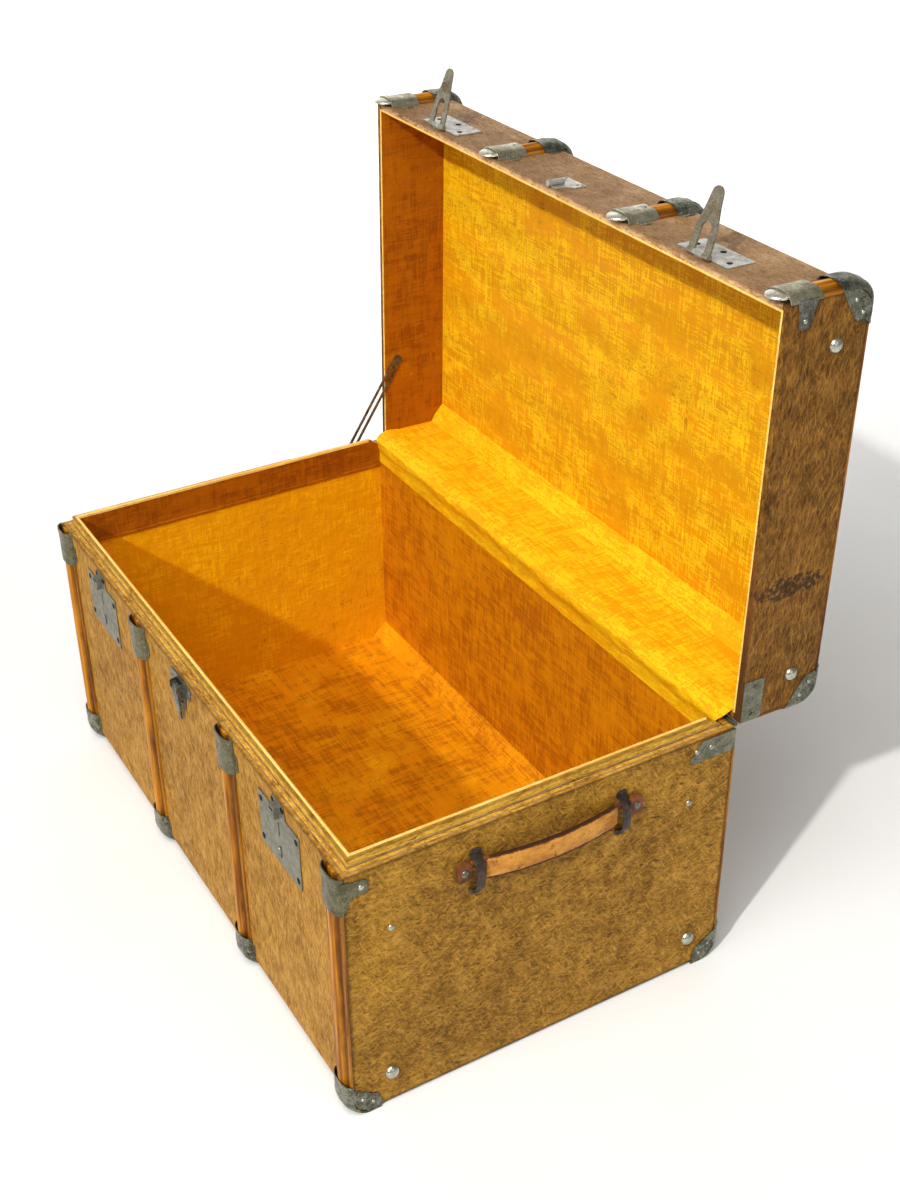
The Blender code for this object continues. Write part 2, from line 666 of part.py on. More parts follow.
def make_catch():
    """Centre catch: a plate with two cheeks and a pin, and the lever that hangs on it."""
    axis_y = -FACE - CATCH_OUT
    axis_z = RIM - CATCH_PIVOT_DOWN
    outline = [(-0.034, axis_z + 0.004), (-0.031, axis_z + 0.009), (-0.015, axis_z + 0.012),
               (0.015, axis_z + 0.012), (0.031, axis_z + 0.009), (0.034, axis_z + 0.004),
               (0.031, axis_z - 0.009), (0.015, axis_z - 0.013), (0.012, axis_z - 0.034),
               (-0.012, axis_z - 0.034), (-0.015, axis_z - 0.013), (-0.031, axis_z - 0.009)]
    plate = finish("catch_plate", prism(outline, "Y", -FACE - GAP - 0.0012, -FACE - GAP),
                   steel("catch steel"))
    for side, word in ((-1, "left"), (1, "right")):
        a, b = sorted((side * 0.0096, side * 0.0110))
        cheek = [(-FACE - 0.0008, axis_z + 0.006), (axis_y - 0.005, axis_z + 0.004),
                 (axis_y - 0.005, axis_z - 0.006), (-FACE - 0.0008, axis_z - 0.024)]
        combine(plate, finish("catch_cheek_" + word, prism(cheek, "X", a, b)), "UNION")
    pin = rod((axis_y, axis_z), 0.0012, -0.0104, 0.0104, 12)
    combine(plate, finish("catch_pin", pin), "UNION")
    drop = -LEVER_LENGTH
    side_view = [(0.0026, 0.0026), (-0.0026, 0.0026), (-0.0036, -0.010), (-0.0022, -0.030),
                 (-0.0002, drop + 0.003), (0.0012, drop), (0.0022, drop + 0.002), (0.0004, -0.020)]
    lever = finish("catch_lever", prism(side_view, "X", -0.0092, 0.0092), steel("catch steel"))
    taper = [(0.0093, -0.022), (0.0030, drop - 0.001), (0.0200, drop - 0.001), (0.0200, -0.022)]
    for sign, word in ((-1, "left"), (1, "right")):
        cut = prism([(sign * a, b) for a, b in taper], "Y", -0.01, 0.01)
        cut = finish("lever_taper_" + word, cut)
        cut.parent = lever
        combine(lever, cut)
    bore = finish("lever_bore", rod((0.0, 0.0), 0.0012 + GAP, -0.02, 0.02, 12))
    bore.parent = lever
    combine(lever, bore)
    lever.location = (0.0, axis_y, axis_z)


def make_lid_staple(parent):
    """Small plate at the middle of the lid's front, with the nose that the catch holds."""
    origin = (0.0, HINGE_Y, RIM)
    low = LID_RIM + 0.0020
    outline = [(-0.011, low), (0.011, low), (0.013, low + 0.016), (0.021, low + 0.022),
               (0.021, low + 0.038), (-0.021, low + 0.038), (-0.021, low + 0.022), (-0.013, low + 0.016)]
    bm = prism(outline, "Y", -FACE - GAP - LOCK_PLATE, -FACE - GAP)
    plate = finish("lid_staple", bm, steel("plate steel"), parent, origin)
    for side, word in ((-1, "left"), (1, "right")):
        hole = rod((side * 0.014, low + 0.030), 0.0028, -FACE - BOARD, -FACE + BOARD, 12, "Y")
        combine(plate, finish("staple_hole_" + word, hole, None, parent, origin))
    nose = rod((0.0, -FACE - 0.0055), 0.0040, LID_RIM - 0.0035, low + 0.018, 12, "Z")
    combine(plate, finish("staple_nose", nose, None, parent, origin), "UNION")


# ---------------------------------------------------------------- handles and stay

def handle_loops():
    """Steel loops that hold the handle straps against the end boards."""
    for side, word in ((-1, "left"), (1, "right")):
        for place, label in ((-1, "front"), (1, "back")):
            y = place * LOOP_Y
            out = LOOP_DEPTH
            wall = 0.0018
            face = GAP
            section = [(face, LOOP_LOW), (face, LOOP_LOW + 0.0110), (out, LOOP_LOW + 0.0170),
                       (out, LOOP_HIGH - 0.0110), (face, LOOP_HIGH - 0.0065), (face, LOOP_HIGH),
                       (face + wall, LOOP_HIGH), (face + wall, LOOP_HIGH - 0.0050),
                       (out + wall, LOOP_HIGH - 0.0100), (out + wall, LOOP_LOW + 0.0155),
                       (face + wall, LOOP_LOW + 0.0095), (face + wall, LOOP_LOW)]
            outline = [(side * (END + a), b) for a, b in section]
            bm = prism(outline, "Y", y - LOOP_WIDTH / 2, y + LOOP_WIDTH / 2)
            finish("handle_loop_%s_%s" % (word, label), bm, steel("loop steel"))


def make_handles():
    """Bowed leather straps, necked where they run through the loops, with stops at their ends."""
    neck_start = LOOP_Y - LOOP_WIDTH / 2 - 0.003
    neck_end = LOOP_Y + LOOP_WIDTH / 2 + 0.001
    stop_end = neck_end + 0.018
    half = STRAP_THICK / 2
    for side, word in ((-1, "left"), (1, "right")):
        stations = []
        for i in range(-6, 7):
            y = neck_start * i / 6
            bow = STRAP_BOW * (1.0 - (i / 6) ** 2)
            stations.append((y, bow, STRAP_DROP, STRAP_RISE))
        for place in (-1, 1):
            ends = [(neck_start + 0.001, 0.0, 0.0040, 0.0040), (neck_end, 0.0, 0.0040, 0.0040),
                    (neck_end + 0.001, 0.0, 0.0200, 0.0035), (stop_end, 0.0, 0.0200, 0.0035)]
            ends = [(place * y, bow, drop, rise) for y, bow, drop, rise in ends]
            stations = ends[::-1] + stations if place < 0 else stations + ends
        outer = []
        inner = []
        for y, bow, drop, rise in stations:
            levels = (-drop, -drop + 0.0015, rise - 0.0015, rise)
            outer.append([Vector((side * (bow + (half if k in (1, 2) else half * 0.6)), y, z))
                          for k, z in enumerate(levels)])
            inner.append([Vector((side * (bow - (half if k in (1, 2) else half * 0.6)), y, z))
                          for k, z in enumerate(levels)])
        handle = finish("handle_strap_" + word, skin(outer, inner), leather("handle leather"), smooth=True)
        handle.location = (side * (END + HANDLE_AXIS_OUT), 0.0, HANDLE_AXIS_UP)


def stay_places():
    """The lid pin in its closed place and the body pin, equally far from the hinge axis."""
    lid_pin = Vector((STAY_X, HINGE_Y - LID_PIN_REACH, RIM + LID_PIN_RISE))
    reach = math.hypot(LID_PIN_REACH, LID_PIN_RISE)
    turn = math.radians(STAY_ANGLE)
    body_pin = Vector((STAY_X, HINGE_Y - reach * math.cos(turn), RIM - reach * math.sin(turn)))
    return lid_pin, body_pin


def stay_rivets(lid_pin, body_pin):
    """The pin riveted to the left board, returned with the shank and head of the lid's rivet."""
    outer_side = STAY_X - STAY_THICK / 2 - GAP
    inner_side = STAY_X + STAY_THICK / 2 + GAP
    board = bpy.data.objects["left_board"]
    pin = rod(body_pin.yz, STAY_PIN_RADIUS, -INNER_END - 0.001, inner_side + 0.0008)
    combine(board, finish("body_pin", pin), "UNION")
    combine(board, finish("body_pin_head", rod(body_pin.yz, 0.0052, inner_side, inner_side + 0.0012)), "UNION")
    shoulder = rod(body_pin.yz, 0.0052, -INNER_END - 0.001, outer_side)
    combine(board, finish("body_pin_shoulder", shoulder), "UNION")
    board.data.materials.append(steel("stay steel"))
    lining_side = -INNER_END + 2 * GAP + 0.0007
    shank = rod((0.0, 0.0), STAY_PIN_RADIUS, lining_side - STAY_X, 0.0)
    head = rod((0.0, 0.0), 0.0052, 0.0, STAY_THICK / 2 + 0.0012)
    return shank, head


def make_stay(parent):
    """Slotted stay on the lid's pin; its slot runs over the pin on the left board."""
    lid_pin, body_pin = stay_places()
    shank, head = stay_rivets(lid_pin, body_pin)
    hinge = Vector((0.0, HINGE_Y, RIM))
    lid_turn = Matrix.Rotation(-math.radians(OPEN_ANGLE), 3, "X")
    line = body_pin - hinge - lid_turn @ (lid_pin - hinge)
    line.x = 0.0
    reach = line.length
    half = STAY_WIDTH / 2
    bottom = -(reach + STAY_OVERRUN)
    outline = arc((0.0, 0.0), half, half, 0, 180, 8) + arc((0.0, bottom + half), half, half, 180, 360, 8)
    stay = finish("lid_stay", prism(outline, "X", -STAY_THICK / 2, STAY_THICK / 2), steel("stay steel"))
    slot = STAY_SLOT / 2
    cut = arc((0.0, -STAY_SLOT_START), slot, slot, 0, 180, 6) + arc((0.0, -reach), slot, slot, 180, 360, 6)
    tools = [(prism(cut, "X", -BOARD, BOARD), "DIFFERENCE"), (shank, "UNION"), (head, "UNION")]
    for i, (tool_bm, operation) in enumerate(tools):
        tool = finish("stay_tool_%d" % i, tool_bm)
        tool.parent = stay
        combine(stay, tool, operation)
    stay.parent = parent
    stay.location = lid_pin - hinge
    stay.rotation_euler = (math.atan2(line.y, -line.z) + math.radians(OPEN_ANGLE), 0.0, 0.0)


def main():
    clear_scene()
    lid = empty("lid_pivot", (0.0, HINGE_Y, RIM), rotation_x=-math.radians(OPEN_ANGLE))
    make_boards("", "floor_board", RIM, FOOT)
    make_boards("lid_", "top_board", LID_RIM, LID_TOP, lid)
    make_lip()
    make_body_lining()
    make_lid_lining(lid)
    body_battens()
    lid_battens(lid)
    socket_clamps()
    foot_clamps()
    tongue_clamps(lid)
    make_leaf("hinge_body_leaf", False, 0)
    make_leaf("hinge_lid_leaf", True, 1, lid)
    pin = rod((HINGE_Y, RIM), HINGE_PIN_RADIUS, -END + 0.001, END - 0.001, 12)
    finish("hinge_pin", pin, steel("hinge steel"))
    lock_plates()
    hasp_plates(lid)
    make_hasps(lid)
    make_catch()
    make_lid_staple(lid)
    handle_loops()
    make_handles()
    make_stay(lid)


main()
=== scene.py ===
"""Looks of the open steamer trunk: coverings, cloth, leather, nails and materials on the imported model.

Pieces of the body are built where they stand. Pieces of the lid are built in its closed place and
turned back with it, so both share the trunk's plain directions: X along it, -Y front, +Z up.
"""

import json
import math

import bmesh
import bpy
from mathutils import Matrix, Vector, noise


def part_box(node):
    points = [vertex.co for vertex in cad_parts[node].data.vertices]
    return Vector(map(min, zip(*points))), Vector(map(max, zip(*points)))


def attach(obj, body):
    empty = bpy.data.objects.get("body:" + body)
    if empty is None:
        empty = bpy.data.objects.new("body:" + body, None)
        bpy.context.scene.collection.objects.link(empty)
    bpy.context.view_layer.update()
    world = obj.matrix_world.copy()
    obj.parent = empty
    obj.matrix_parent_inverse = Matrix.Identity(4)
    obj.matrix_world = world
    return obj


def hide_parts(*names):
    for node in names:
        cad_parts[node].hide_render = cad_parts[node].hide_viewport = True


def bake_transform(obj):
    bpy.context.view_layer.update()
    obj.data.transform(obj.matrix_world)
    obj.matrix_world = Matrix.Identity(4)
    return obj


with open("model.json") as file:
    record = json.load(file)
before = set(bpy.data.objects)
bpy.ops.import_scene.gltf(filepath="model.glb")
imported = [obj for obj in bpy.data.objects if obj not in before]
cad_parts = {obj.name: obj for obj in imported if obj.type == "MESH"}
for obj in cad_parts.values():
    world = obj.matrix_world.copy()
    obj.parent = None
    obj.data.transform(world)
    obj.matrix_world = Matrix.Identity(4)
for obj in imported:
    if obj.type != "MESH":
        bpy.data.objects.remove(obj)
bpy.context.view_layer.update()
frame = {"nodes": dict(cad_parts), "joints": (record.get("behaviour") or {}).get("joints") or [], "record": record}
joints = {joint["name"]: joint for joint in frame["joints"]}
nodes = frame["nodes"]

# Places that follow from the frame
HINGE = Vector(joints["lid_hinge"]["pos_m"])
OPEN = math.radians(joints["lid_hinge"]["range_deg"][1])
LID = Matrix.Translation(HINGE) @ Matrix.Rotation(-OPEN, 4, "X") @ Matrix.Translation(-HINGE)
HERE = Matrix.Identity(4)


def closed_box(node):
    """Corners of a lid node in the lid's closed place."""
    points = [LID.inverted() @ v.co for v in nodes[node].data.vertices]
    low = Vector([min(p[i] for p in points) for i in range(3)])
    high = Vector([max(p[i] for p in points) for i in range(3)])
    return low, high


BODY_LOW, BODY_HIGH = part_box("right_board")
LID_LOW, LID_HIGH = closed_box("lid_right_board")
END = BODY_HIGH.x
FACE = BODY_HIGH.y
FLOOR = BODY_LOW.z
RIM = BODY_HIGH.z
LID_RIM = LID_LOW.z
LID_TOP = LID_HIGH.z
BOARD = BODY_HIGH.x - BODY_LOW.x
LIP_LOW, LIP_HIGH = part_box("rim_lip")
BATTEN_X = [sum(c.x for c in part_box("front_batten_%d" % n)) / 2 for n in (1, 2, 3, 4)]
LOCK_X = sum(c.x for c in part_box("lock_plate_right")) / 2
STRAP_LOW, STRAP_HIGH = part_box("handle_strap_right")
STRAP_MIDDLE = (STRAP_LOW.z + STRAP_HIGH.z) / 2
STRAP_HALF = (STRAP_HIGH.z - STRAP_LOW.z) / 2

# Sizes of boards, battens and fittings, in metres
LIP_INSET = 0.0125
LIP_THICK = 0.0065
EDGE_RADIUS = 0.020
BATTEN_HALF = 0.020
BEAD_HALF = 0.009
FLANGE = 0.0035
CROWN = 0.0095
CROWN_STOP = RIM - 0.0195       # where a front batten's bead is cut down for the tongue above it
SHEET = 0.0010                  # sheet steel of the clamps
SKIN = 0.0003                   # gap that is kept under whatever lies on a board
PROUD = 0.0004                  # how far an end ear stands out past the clamp that it belongs to
PLATE_FACE = 0.0018             # outer face of the lock and hasp plates
STRAP_REACH = 0.0895            # half the strap's length
STRAP_BOW = 0.0100              # how far the strap's middle stands out past its ends
STRAP_THICK = 0.0024            # half the strap's thickness
THREAD_PITCH = 0.0013           # of the lining's weave

# Radius and height of nail, rivet and stud heads
EAR_NAIL = (0.0021, 0.0011)
BATTEN_PIN = (0.0016, 0.0008)
CROWN_NAIL = (0.0030, 0.0010)
LOCK_NAIL = (0.0044, 0.0011)
COVER_RIVET = (0.0021, 0.0012)
HASP_NAIL = (0.0040, 0.0008)
CATCH_NAIL = (0.0026, 0.0012)
STAPLE_NAIL = (0.0018, 0.0010)
BODY_LEAF_RIVET = (0.0038, 0.0018)
LID_LEAF_RIVET = (0.0030, 0.0014)
BODY_STUD = (0.0098, 0.0062)
LID_STUD = (0.0090, 0.0056)
SMALL_STUD = (0.0045, 0.0024)
LOOP_NAIL = (0.0036, 0.0019)
STRAP_RIVET = (0.0052, 0.0022)

SIDES = ((-1, "left"), (1, "right"))
WALL_SIDES = ((-1, "front"), (1, "back"))
END_SIDE = {1: -1, 4: 1}        # end battens, and which end of the trunk each stands at


# ---------------------------------------------------------------- materials

class Look:
    """One procedural material, built up around its Principled shader."""

    def __init__(self, name, metallic=0.0, specular=0.5, coat=0.0):
        self.material = bpy.data.materials.new(name)
        self.material.use_nodes = True
        self.tree = self.material.node_tree
        self.shader = self.tree.nodes["Principled BSDF"]
        self.shader.inputs["Metallic"].default_value = metallic
        self.shader.inputs["Specular IOR Level"].default_value = specular
        self.shader.inputs["Coat Weight"].default_value = coat
        self.shader.inputs["Coat Roughness"].default_value = 0.35
        self.place = self.tree.nodes.new("ShaderNodeTexCoord").outputs["Object"]
        self.normal = None

    def put(self, value, socket):
        """Link a socket, or set a plain value."""
        if isinstance(value, bpy.types.NodeSocket):
            self.tree.links.new(value, socket)
        elif isinstance(value, tuple) and len(value) == 3 and socket.type == "RGBA":
            socket.default_value = (*value, 1.0)
        else:
            socket.default_value = value

    def uv(self):
        """Work in the mesh's own UV map, in metres, from here on."""
        self.place = self.tree.nodes.new("ShaderNodeTexCoord").outputs["UV"]

    def mapped(self, stretch=(1, 1, 1), turn=(0, 0, 0), shift=(0, 0, 0)):
        """The place, turned in degrees and then scaled along each axis."""
        turned = self.tree.nodes.new("ShaderNodeMapping")
        turned.vector_type = "POINT"
        turned.inputs["Rotation"].default_value = [math.radians(a) for a in turn]
        self.put(self.place, turned.inputs["Vector"])
        scaled = self.tree.nodes.new("ShaderNodeMapping")
        scaled.inputs["Scale"].default_value = stretch
        scaled.inputs["Location"].default_value = shift
        self.put(turned.outputs["Vector"], scaled.inputs["Vector"])
        return scaled.outputs["Vector"]

    def noise(self, scale, stretch=(1, 1, 1), turn=(0, 0, 0), detail=3.0, rough=0.55, distort=0.0,
              shift=(0, 0, 0)):
        """Soft cloudy noise, as a value near 0.5."""
        node = self.tree.nodes.new("ShaderNodeTexNoise")
        self.put(self.mapped(stretch, turn, shift), node.inputs["Vector"])
        node.inputs["Scale"].default_value = scale
        node.inputs["Detail"].default_value = detail
        node.inputs["Roughness"].default_value = rough
        node.inputs["Distortion"].default_value = distort
        return node.outputs["Fac"]

    def cells(self, scale):
        """Distance to the nearest point of a scattered set."""
        node = self.tree.nodes.new("ShaderNodeTexVoronoi")
        self.put(self.mapped(), node.inputs["Vector"])
        node.inputs["Scale"].default_value = scale
        return node.outputs["Distance"]

    def threads(self, pitch, axis):
        """Rounded ridges of a weave, one per pitch along an axis."""
        node = self.tree.nodes.new("ShaderNodeTexWave")
        node.wave_type = "BANDS"
        node.bands_direction = axis
        self.put(self.mapped(), node.inputs["Vector"])
        node.inputs["Scale"].default_value = 2 * math.pi / (20 * pitch)
        node.inputs["Distortion"].default_value = 0.6
        node.inputs["Detail"].default_value = 1.0
        node.inputs["Detail Scale"].default_value = 0.4
        return node.outputs["Fac"]

    def math(self, operation, a, b=0.0):
        """One sum on two values or sockets."""
        node = self.tree.nodes.new("ShaderNodeMath")
        node.operation = operation
        self.put(a, node.inputs[0])
        self.put(b, node.inputs[1])
        return node.outputs[0]

    def total(self, *terms):
        """Sum of (value, weight) pairs."""
        result = None
        for value, weight in terms:
            part = self.math("MULTIPLY", value, weight)
            result = part if result is None else self.math("ADD", result, part)
        return result

    def level(self, value, low, high, to_low=0.0, to_high=1.0):
        """Value between low and high, eased and stretched to a new range."""
        node = self.tree.nodes.new("ShaderNodeMapRange")
        node.interpolation_type = "SMOOTHSTEP"
        self.put(value, node.inputs["Value"])
        for name, number in (("From Min", low), ("From Max", high), ("To Min", to_low), ("To Max", to_high)):
            node.inputs[name].default_value = number
        return node.outputs["Result"]

    def mix(self, amount, a, b, blend="MIX"):
        """Colour a, going over to colour b by an amount from 0 to 1."""
        node = self.tree.nodes.new("ShaderNodeMix")
        node.data_type = "RGBA"
        node.blend_type = blend
        node.clamp_factor = True
        self.put(amount, node.inputs[0])
        self.put(a, node.inputs[6])
        self.put(b, node.inputs[7])
        return node.outputs[2]

    def ramp(self, value, *stops):
        """Colour that runs through stops of (position, colour)."""
        node = self.tree.nodes.new("ShaderNodeValToRGB")
        elements = node.color_ramp.elements
        while len(elements) < len(stops):
            elements.new(0.5)
        for element, (position, colour) in zip(elements, stops):
            element.position = position
            element.color = (*colour, 1.0)
        self.put(value, node.inputs["Fac"])
        return node.outputs["Color"]

    def along(self, axis):
        """The place's own coordinate along an axis."""
        node = self.tree.nodes.new("ShaderNodeSeparateXYZ")
        self.put(self.place, node.inputs[0])
        return node.outputs["XYZ".index(axis)]

    def edges(self, low, high, axes, width):
        """1 at the edges of a box along the named axes, falling to 0 a width inside it."""
        nearest = None
        for axis in axes:
            i = "XYZ".index(axis)
            here = self.along(axis)
            for gap in (self.math("SUBTRACT", here, low[i]), self.math("SUBTRACT", high[i], here)):
                nearest = gap if nearest is None else self.math("MINIMUM", nearest, gap)
        wobble = self.total((self.noise(25.0), width), (self.noise(140.0), width * 0.5))
        return self.level(self.math("ADD", nearest, wobble), width * 0.75, width * 1.9, 1.0, 0.0)

    def blob(self, centre, size, reach=1.0):
        """1 inside a ragged ellipsoid, 0 outside."""
        node = self.tree.nodes.new("ShaderNodeMapping")
        node.vector_type = "TEXTURE"
        node.inputs["Location"].default_value = centre
        node.inputs["Scale"].default_value = size
        self.put(self.place, node.inputs["Vector"])
        length = self.tree.nodes.new("ShaderNodeVectorMath")
        length.operation = "LENGTH"
        self.put(node.outputs["Vector"], length.inputs[0])
        ragged = self.total((length.outputs["Value"], 1.0), (self.noise(90.0, detail=5.0), 1.1),
                            (self.noise(30.0), 0.8))
        return self.level(ragged, reach + 0.75, reach + 0.95, 1.0, 0.0)

    def bump(self, height, depth):
        """Add relief of a depth in metres."""
        node = self.tree.nodes.new("ShaderNodeBump")
        node.inputs["Distance"].default_value = depth
        self.put(height, node.inputs["Height"])
        if self.normal is not None:
            self.put(self.normal, node.inputs["Normal"])
        self.normal = node.outputs["Normal"]

    def done(self, colour, roughness):
        """Close the material with its colour and roughness."""
        self.put(colour, self.shader.inputs["Base Color"])
        self.put(roughness, self.shader.inputs["Roughness"])
        if self.normal is not None:
            self.put(self.normal, self.shader.inputs["Normal"])
        return self.material


def fibre_look(name, light, middle, dark, box, axes, turns, grain, scale=300.0, label=None, relief=0.0024,
               trim=None):
    """Fibre sheet: matted fibres in a few directions, nicks, stains, worn edges and a painted trim."""
    look = Look(name, specular=0.18)
    layers = None
    for i, turn in enumerate(turns):
        shift = (i * 3.1, i, 0.7 * i)
        layer = look.noise(scale, grain, turn, rough=0.6, distort=0.4, shift=shift)
        layers = layer if layers is None else look.math("MAXIMUM", layers, layer)
    fine = look.noise(scale * 2.6, detail=2.0)
    mottle = look.noise(38.0, detail=5.0, rough=0.6)
    broad = look.noise(7.0, detail=3.0, shift=(4, 4, 4))
    value = look.total((layers, 1.0), (fine, 0.26), (mottle, 0.32), (broad, 0.24))
    colour = look.ramp(look.level(value, 0.76, 1.24), (0.0, dark), (0.40, middle), (1.0, light))
    nicks = look.level(look.noise(170.0, grain, turns[0], shift=(7, 7, 7)), 0.63, 0.70)
    nicks = look.math("MULTIPLY", nicks, look.level(look.noise(22.0, shift=(2, 9, 5)), 0.50, 0.60))
    grime = tuple(c * 0.45 for c in dark)
    colour = look.mix(look.math("MULTIPLY", nicks, 0.75), colour, grime)
    stain = look.level(look.noise(9.0, detail=6.0, rough=0.7, shift=(1, 8, 3)), 0.60, 0.76, 0.0, 0.35)
    colour = look.mix(stain, colour, tuple(c * 0.8 for c in dark))
    if trim:
        axis, edge, width, tint = trim
        gap = look.math("ABSOLUTE", look.math("SUBTRACT", look.along(axis), edge), 0.0)
        gap = look.math("ADD", gap, look.math("MULTIPLY", look.noise(60.0), width * 0.25))
        colour = look.mix(look.level(gap, width, width * 1.12, 0.85, 0.0), colour, tint)
    worn = look.edges(*box, axes, 0.005)
    colour = look.mix(look.math("MULTIPLY", worn, 0.70), colour, grime)
    if label:
        torn = look.blob(*label)
        holes = look.level(look.noise(160.0, detail=4.0, shift=(3, 1, 6)), 0.38, 0.52)
        patchy = look.math("MULTIPLY", torn, holes)
        colour = look.mix(look.math("MULTIPLY", patchy, 0.85), colour, (0.030, 0.012, 0.004))
    look.bump(look.total((layers, 1.0), (fine, 0.3), (nicks, -0.8)), relief)
    look.bump(mottle, 0.0030)
    rough = look.level(look.total((layers, 0.5), (mottle, 0.5)), 0.35, 0.7, 0.75, 0.50)
    return look.done(colour, rough)


def cloth_look(name, bright, base, dark, rubbed, stained, streak="XYZ"):
    """Glazed woven lining: bright rubbed threads over a golden base, brown patches along the weave."""
    look = Look(name, specular=0.10)

    def crossed(scale, thin, detail, shift):
        """Noise drawn out along each thread direction, added together."""
        terms = []
        for i, axis in enumerate(streak):
            stretch = tuple(thin if "XYZ"[k] == axis else 1.0 for k in range(3))
            moved = (shift + i * 5, i * 3 - shift, i)
            layer = look.noise(scale, stretch, detail=detail, rough=0.65, shift=moved)
            terms.append((layer, 1.0 / len(streak)))
        return look.total(*terms)

    hatch = crossed(430.0, 0.075, 2.0, 0.0)
    wide = crossed(110.0, 0.14, 3.0, 2.0)
    broad = look.total((look.noise(7.0, shift=(3, 5, 1)), 0.5), (look.noise(22.0, detail=4.0), 0.5))
    other = look.total((look.noise(6.0, detail=4.0, shift=(9, 2, 7)), 0.5),
                       (look.noise(26.0, shift=(5, 5, 1)), 0.5))
    shine = look.total((hatch, 1.5), (wide, 0.9), (broad, 0.9))
    soil = look.total((hatch, 1.5), (wide, 1.2), (other, 0.9))
    light = look.level(shine, 1.80 - 0.36 * rubbed, 1.90 - 0.36 * rubbed)
    brown = look.level(soil, 2.06 - 0.46 * stained, 2.16 - 0.46 * stained)
    deep = look.level(soil, 2.18 - 0.46 * stained, 2.32 - 0.46 * stained)
    colour = look.mix(look.math("MULTIPLY", light, 0.75), base, bright)
    colour = look.mix(look.level(hatch, 0.42, 0.58, 0.22, 0.0), colour, tuple(0.6 * c for c in base))
    between = tuple(0.45 * a + 0.55 * b for a, b in zip(base, dark))
    colour = look.mix(look.math("MULTIPLY", brown, 0.72), colour, between)
    colour = look.mix(look.math("MULTIPLY", deep, 0.65), colour, dark)
    weave = look.math("MAXIMUM", look.threads(THREAD_PITCH, "X"), look.threads(THREAD_PITCH, "Y"))
    weave = look.math("MAXIMUM", weave, look.threads(THREAD_PITCH, "Z"))
    colour = look.mix(look.level(weave, 0.75, 1.0, 0.0, 0.16), colour, base, "MULTIPLY")
    look.bump(look.total((weave, 0.5), (hatch, 1.0)), 0.0007)
    look.bump(look.noise(45.0), 0.0024)
    return look.done(colour, look.level(soil, 1.5, 2.1, 0.46, 0.68))


def wood_look(name):
    """Varnished batten: long grain, dark pores, a paler crown and a darker band beside it.

    Its UV map runs across the batten from the middle, and along it.
    """
    look = Look(name, specular=0.15, coat=0.03)
    look.uv()
    grain = look.noise(260.0, (1, 0.035, 1), detail=4.0, rough=0.6, distort=0.3)
    wide = look.noise(70.0, (1, 0.05, 1), detail=2.0)
    value = look.total((grain, 0.6), (wide, 0.5))
    colour = look.ramp(look.level(value, 0.36, 0.74), (0.0, (0.100, 0.028, 0.002)),
                       (0.40, (0.32, 0.104, 0.003)), (1.0, (0.61, 0.245, 0.006)))
    smear = look.level(look.noise(24.0, (1, 0.35, 1), detail=5.0, rough=0.65), 0.54, 0.70, 0.0, 0.85)
    colour = look.mix(smear, colour, (0.055, 0.020, 0.007))
    # A darker band where the bead meets the flanges, then a paler crown along the middle
    side = look.math("ABSOLUTE", look.along("X"), 0.0)
    ragged = look.math("ADD", side, look.math("MULTIPLY", look.noise(120.0, (1, 0.2, 1)), 0.004))
    bead_foot_band = look.level(ragged, 0.0085, 0.0125)
    away = look.level(side, 0.0125, 0.0170, 1.0, 0.35)
    bead_foot_band = look.math("MULTIPLY", look.math("MULTIPLY", bead_foot_band, away), 0.75)
    colour = look.mix(bead_foot_band, colour, (0.050, 0.017, 0.006))
    ragged = look.math("ADD", side, look.math("MULTIPLY", look.noise(60.0, (1, 0.3, 1)), 0.010))
    crown = look.level(ragged, 0.004, 0.010, 0.35, 0.0)
    colour = look.mix(crown, colour, (0.74, 0.33, 0.012))
    look.bump(grain, 0.0005)
    return look.done(colour, look.level(value, 0.4, 0.75, 0.50, 0.32))


def steel_look(name, bright, tarnish, rust=0.3, shine=0.30, pitted=0.0006, metallic=0.85):
    """Old sheet steel: rubbed bright places, olive tarnish, brown specks and dents."""
    look = Look(name, metallic=metallic)
    patch = look.total((look.noise(90.0, detail=6.0, rough=0.7), 0.5), (look.noise(420.0, detail=3.0), 0.3),
                       (look.noise(20.0, detail=2.0, shift=(1, 4, 2)), 0.2))
    colour = look.mix(look.level(patch, 0.38, 0.64), tarnish, bright)
    specks = look.level(look.noise(260.0, detail=5.0, rough=0.7, shift=(5, 2, 8)), 0.58 - 0.08 * rust, 0.70)
    colour = look.mix(look.math("MULTIPLY", specks, 0.75), colour, (0.050, 0.028, 0.010))
    scratch = look.level(look.noise(700.0, (1, 0.04, 0.25), (20, 0, 35), detail=1.0), 0.66, 0.74, 0.0, 0.4)
    colour = look.mix(scratch, colour, tuple(min(1.0, c * 1.6) for c in bright))
    look.bump(look.total((look.noise(110.0, detail=4.0), 1.0), (specks, -0.5)), pitted)
    return look.done(colour, look.level(patch, 0.35, 0.65, shine + 0.22, shine))


